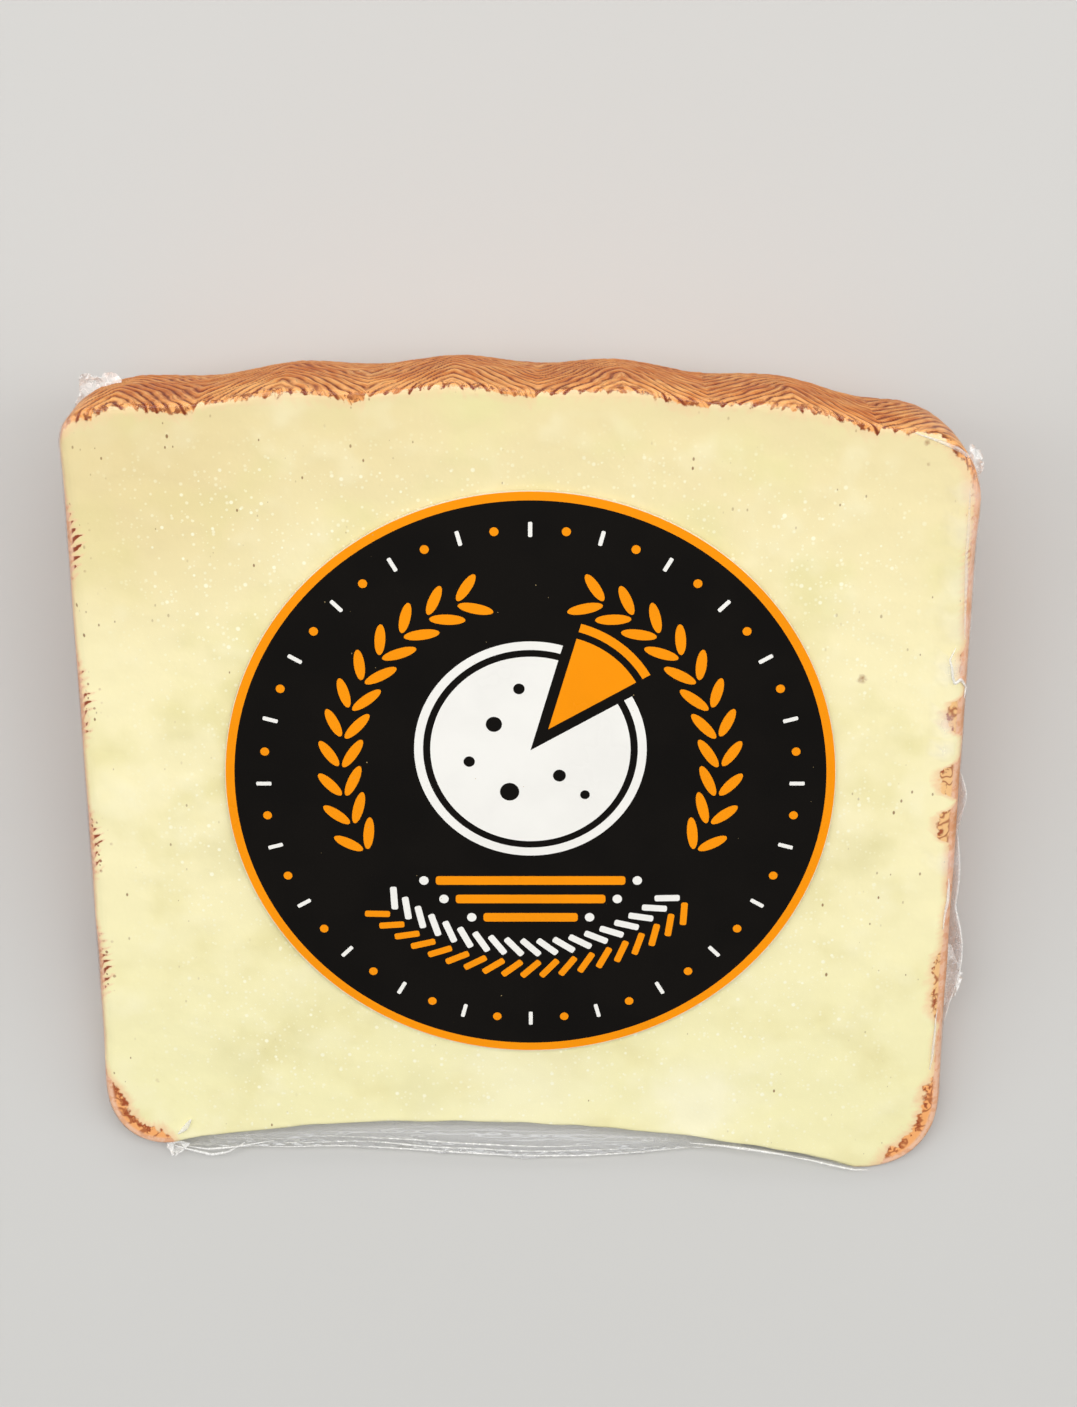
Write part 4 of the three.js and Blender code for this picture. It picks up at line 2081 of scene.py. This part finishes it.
    def _beads(self) -> None:
        """Beads round the edge: orange rounds and short white bars by turns."""
        rounds, bars = [], []
        for number in range(self.bead_count):
            turn = 2 * math.pi * number / self.bead_count
            x, y = self.bead_reach * math.cos(turn), self.bead_reach * math.sin(turn)
            if number % 2:
                rounds.append(self._at(x, y))
            else:
                bars.append(self._at(x, y, turn))
        self._print(Ink.ORANGE, Bench.disc(self.bead_radius, self.dot_corners), rounds)
        self._print(Ink.WHITE, self._bar(*self.bead_bar), bars)

    def _wheel_sign(self) -> None:
        """A wheel of cheese seen from above, with a rind, a few eyes and one wedge drawn out of it."""
        for ink, inside, shift in ((Ink.WHITE, False, 0.0), (Ink.ORANGE, True, self.cut_drawn)):
            place = self._at(shift * math.cos(self.cut_aim), self.sign_y + shift * math.sin(self.cut_aim))
            for radius, hollow in self.sign_rings:
                self._print(ink, self._sector(radius, hollow, inside), [place])
        places = [self._at(x, self.sign_y + y, 0.0, radius) for x, y, radius in self.eyes]
        self._print(Ink.BLACK, Bench.disc(1.0, self.round_corners), places, level=1)

    def _sector(self, radius: float, hollow: float, inside: bool) -> bpy.types.Object:
        """A flat disc or ring with the cut wedge missing, or that wedge alone.

        Args:
            radius: The outer radius.
            hollow: The inner radius, 0 for a disc.
            inside: Whether the wedge is kept and the rest is dropped.

        Returns:
            The shape, about the origin.
        """
        shape = Bench.disc(radius, self.disc_corners)
        Bench.edit(shape, "FACE", "SELECT")
        if hollow:
            bpy.ops.mesh.inset(thickness=(radius - hollow) * MM)
            bpy.ops.mesh.delete(type="FACE")
        else:
            bpy.ops.mesh.poke()
        Bench.close()
        turns = [math.atan2(face.center.y, face.center.x) for face in shape.data.polygons]
        in_wedge = np.array([abs(turn - self.cut_aim) < self.cut_half for turn in turns])
        Bench.pick_faces(shape, in_wedge != inside)
        bpy.ops.mesh.delete(type="FACE")
        Bench.close()
        return shape

    def _wreath(self) -> None:
        """Two sprigs round the wheel, with leaves that lean to both sides."""
        spots = [(side, number) for side in (-1, 1) for number in range(self.leaf_pairs)]
        for lean, size in self.leaf_kinds:
            leaf = Bench.disc(1.0, self.round_corners)
            Bench.settle(leaf, Matrix.Diagonal((size, self.leaf_width, 1.0, 1.0)))
            self._print(Ink.ORANGE, leaf, [self._leaf_place(*spot, lean) for spot in spots])

    def _leaf_place(self, side: int, number: int, lean: float) -> Matrix:
        """The place of one leaf.

        Args:
            side: -1 on the left sprig and 1 on the right one.
            number: The leaf's number, from the foot of the sprig.
            lean: How far the leaf leans away from the sprig's run.

        Returns:
            The place, with the leaf's length along X.
        """
        turn = self.leaf_from + self.leaf_step * number
        x = side * self.wreath_reach * math.cos(turn)
        y = self.wreath_y + self.wreath_reach * math.sin(turn)
        aim = turn + math.pi / 2 + lean
        aim = aim if side > 0 else math.pi - aim
        return self._at(x + self.leaf_gap * math.cos(aim), y + self.leaf_gap * math.sin(aim), aim)

    def _plait_band(self) -> None:
        """Slanted bars in two curved rows, like the plait on the rind, under three plain bars with dots."""
        for ink, reach, lean in self.band_rows:
            places = []
            for number in range(-self.band_half, self.band_half + 1):
                tilt = self.band_step * number
                x, y = reach * math.sin(tilt), self.wreath_y - reach * math.cos(tilt)
                places.append(self._at(x, y, tilt + lean))
            self._print(ink, self._bar(*self.band_bar), places)
        dots = []
        for number, length in enumerate(self.long_bars):
            y = self.long_bar_y - self.long_bar_step * number
            self._print(Ink.ORANGE, self._bar(length, self.long_bar_width), [self._at(0.0, y)])
            dots += [self._at(side * (length / 2 + self.dot_gap), y) for side in (-1, 1)]
        self._print(Ink.WHITE, Bench.disc(self.dot_radius, self.dot_corners), dots)


@dataclass(frozen=True)
class Softbox:
    """A soft studio light: where it stands, its width and length in metres, and its power."""

    name: str
    place: tuple[float, float, float]
    size: Pair
    power: float


@dataclass
class Studio:
    """The floor, the soft lights and the camera."""

    wheel: Wheel
    floor_colour: Colour = srgb(196, 195, 192)
    floor_size: float = 6000.0
    floor_drop: float = 0.1
    sky_colour: Colour = (1.0, 1.0, 1.0, 1.0)
    sky_strength: float = 0.2
    softboxes: tuple[Softbox, ...] = (
        Softbox("overhead softbox", (0.0, 0.12, 0.9), (1.1, 0.6), 6.4),
        Softbox("back softbox", (0.0, 0.9, 0.45), (1.2, 0.5), 3.6),
        Softbox("left softbox", (-0.8, 0.0, 0.6), (0.5, 0.7), 2.7),
        Softbox("right softbox", (0.8, 0.0, 0.6), (0.5, 0.7), 2.7),
    )
    camera_x: float = 2.0
    camera_y: float = 64.9
    camera_height: float = 333.2
    camera_near: float = 10.0
    focal_share: float = 2494.0 / 1407.0
    sensor: float = 36.0

    def build(self) -> None:
        """Sets up the whole studio."""
        self._floor()
        self._sky()
        for box in self.softboxes:
            self._light(box)
        self._camera()
        bpy.context.scene.view_settings.view_transform = "Standard"

    def _floor(self) -> None:
        """A plain pale floor."""
        bpy.ops.object.select_all(action="DESELECT")
        below = (0.0, 0.0, -self.floor_drop * MM)
        bpy.ops.mesh.primitive_plane_add(size=self.floor_size * MM, location=below)
        floor = bpy.context.object
        floor.name = "floor"
        sockets = {"Base Color": self.floor_colour, "Roughness": 0.7, "Specular IOR Level": 0.2}
        floor.data.materials.append(Graph("floor").coated(sockets))

    def _sky(self) -> None:
        """A dim even sky."""
        world = bpy.data.worlds.new("studio")
        bpy.context.scene.world = world
        world.use_nodes = True
        sky = world.node_tree.nodes["Background"]
        sky.inputs["Color"].default_value = self.sky_colour
        sky.inputs["Strength"].default_value = self.sky_strength

    @staticmethod
    def _light(box: Softbox) -> None:
        """Adds a softbox that points at the origin.

        Args:
            box: The softbox.
        """
        bpy.ops.object.light_add(type="AREA", location=box.place)
        light = bpy.context.object
        light.name = box.name
        light.data.shape = "RECTANGLE"
        light.data.size, light.data.size_y = box.size
        light.data.energy = box.power
        light.rotation_euler = (-Vector(box.place)).to_track_quat("-Z", "Y").to_euler()

    def _camera(self) -> None:
        """The camera, straight above the pack."""
        x = self.camera_x + self.wheel.middle_x
        y = self.camera_y + self.wheel.axis_y
        place = Vector((x, y, self.camera_height)) * MM
        bpy.ops.object.camera_add(location=place, rotation=(0.0, 0.0, 0.0))
        camera = bpy.context.object
        camera.data.sensor_width = self.sensor
        camera.data.lens = self.sensor * self.focal_share
        camera.data.clip_start = self.camera_near * MM
        bpy.context.scene.camera = camera


def keep(piece: bpy.types.Object, slot: str, *nodes: str) -> None:
    """Ties a finished piece to the frame and reports it.

    Args:
        piece: The piece.
        slot: The name of a material slot; not used.
        nodes: The solids that it stands for.
    """
    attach(piece, BODY)
    if nodes:
        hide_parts(*nodes)
    triangles = sum(len(face.vertices) - 2 for face in piece.data.polygons)
    LOG.info("%s: %d triangles", piece.name, triangles)


def main() -> None:
    """Builds the studio and every piece in order."""
    logging.basicConfig(level=logging.INFO, format="%(name)s: %(message)s")
    wheel = Wheel.under_label(PrintedLabel.x, PrintedLabel.rho, LABEL_SOLID_LIFT)
    Studio(wheel).build()
    keep(CheeseWedge(wheel).build(), "cheese", "wrapped_cheese")
    keep(FilmBag(wheel).build(), "film", "wrapped_cheese")
    keep(FilmTucks(wheel).build(), "film")
    keep(FilmCreaseHighlights(wheel).build(), "film")
    keep(PrintedLabel(wheel).build(), "label", "label")


if __name__ == "__main__":
    main()
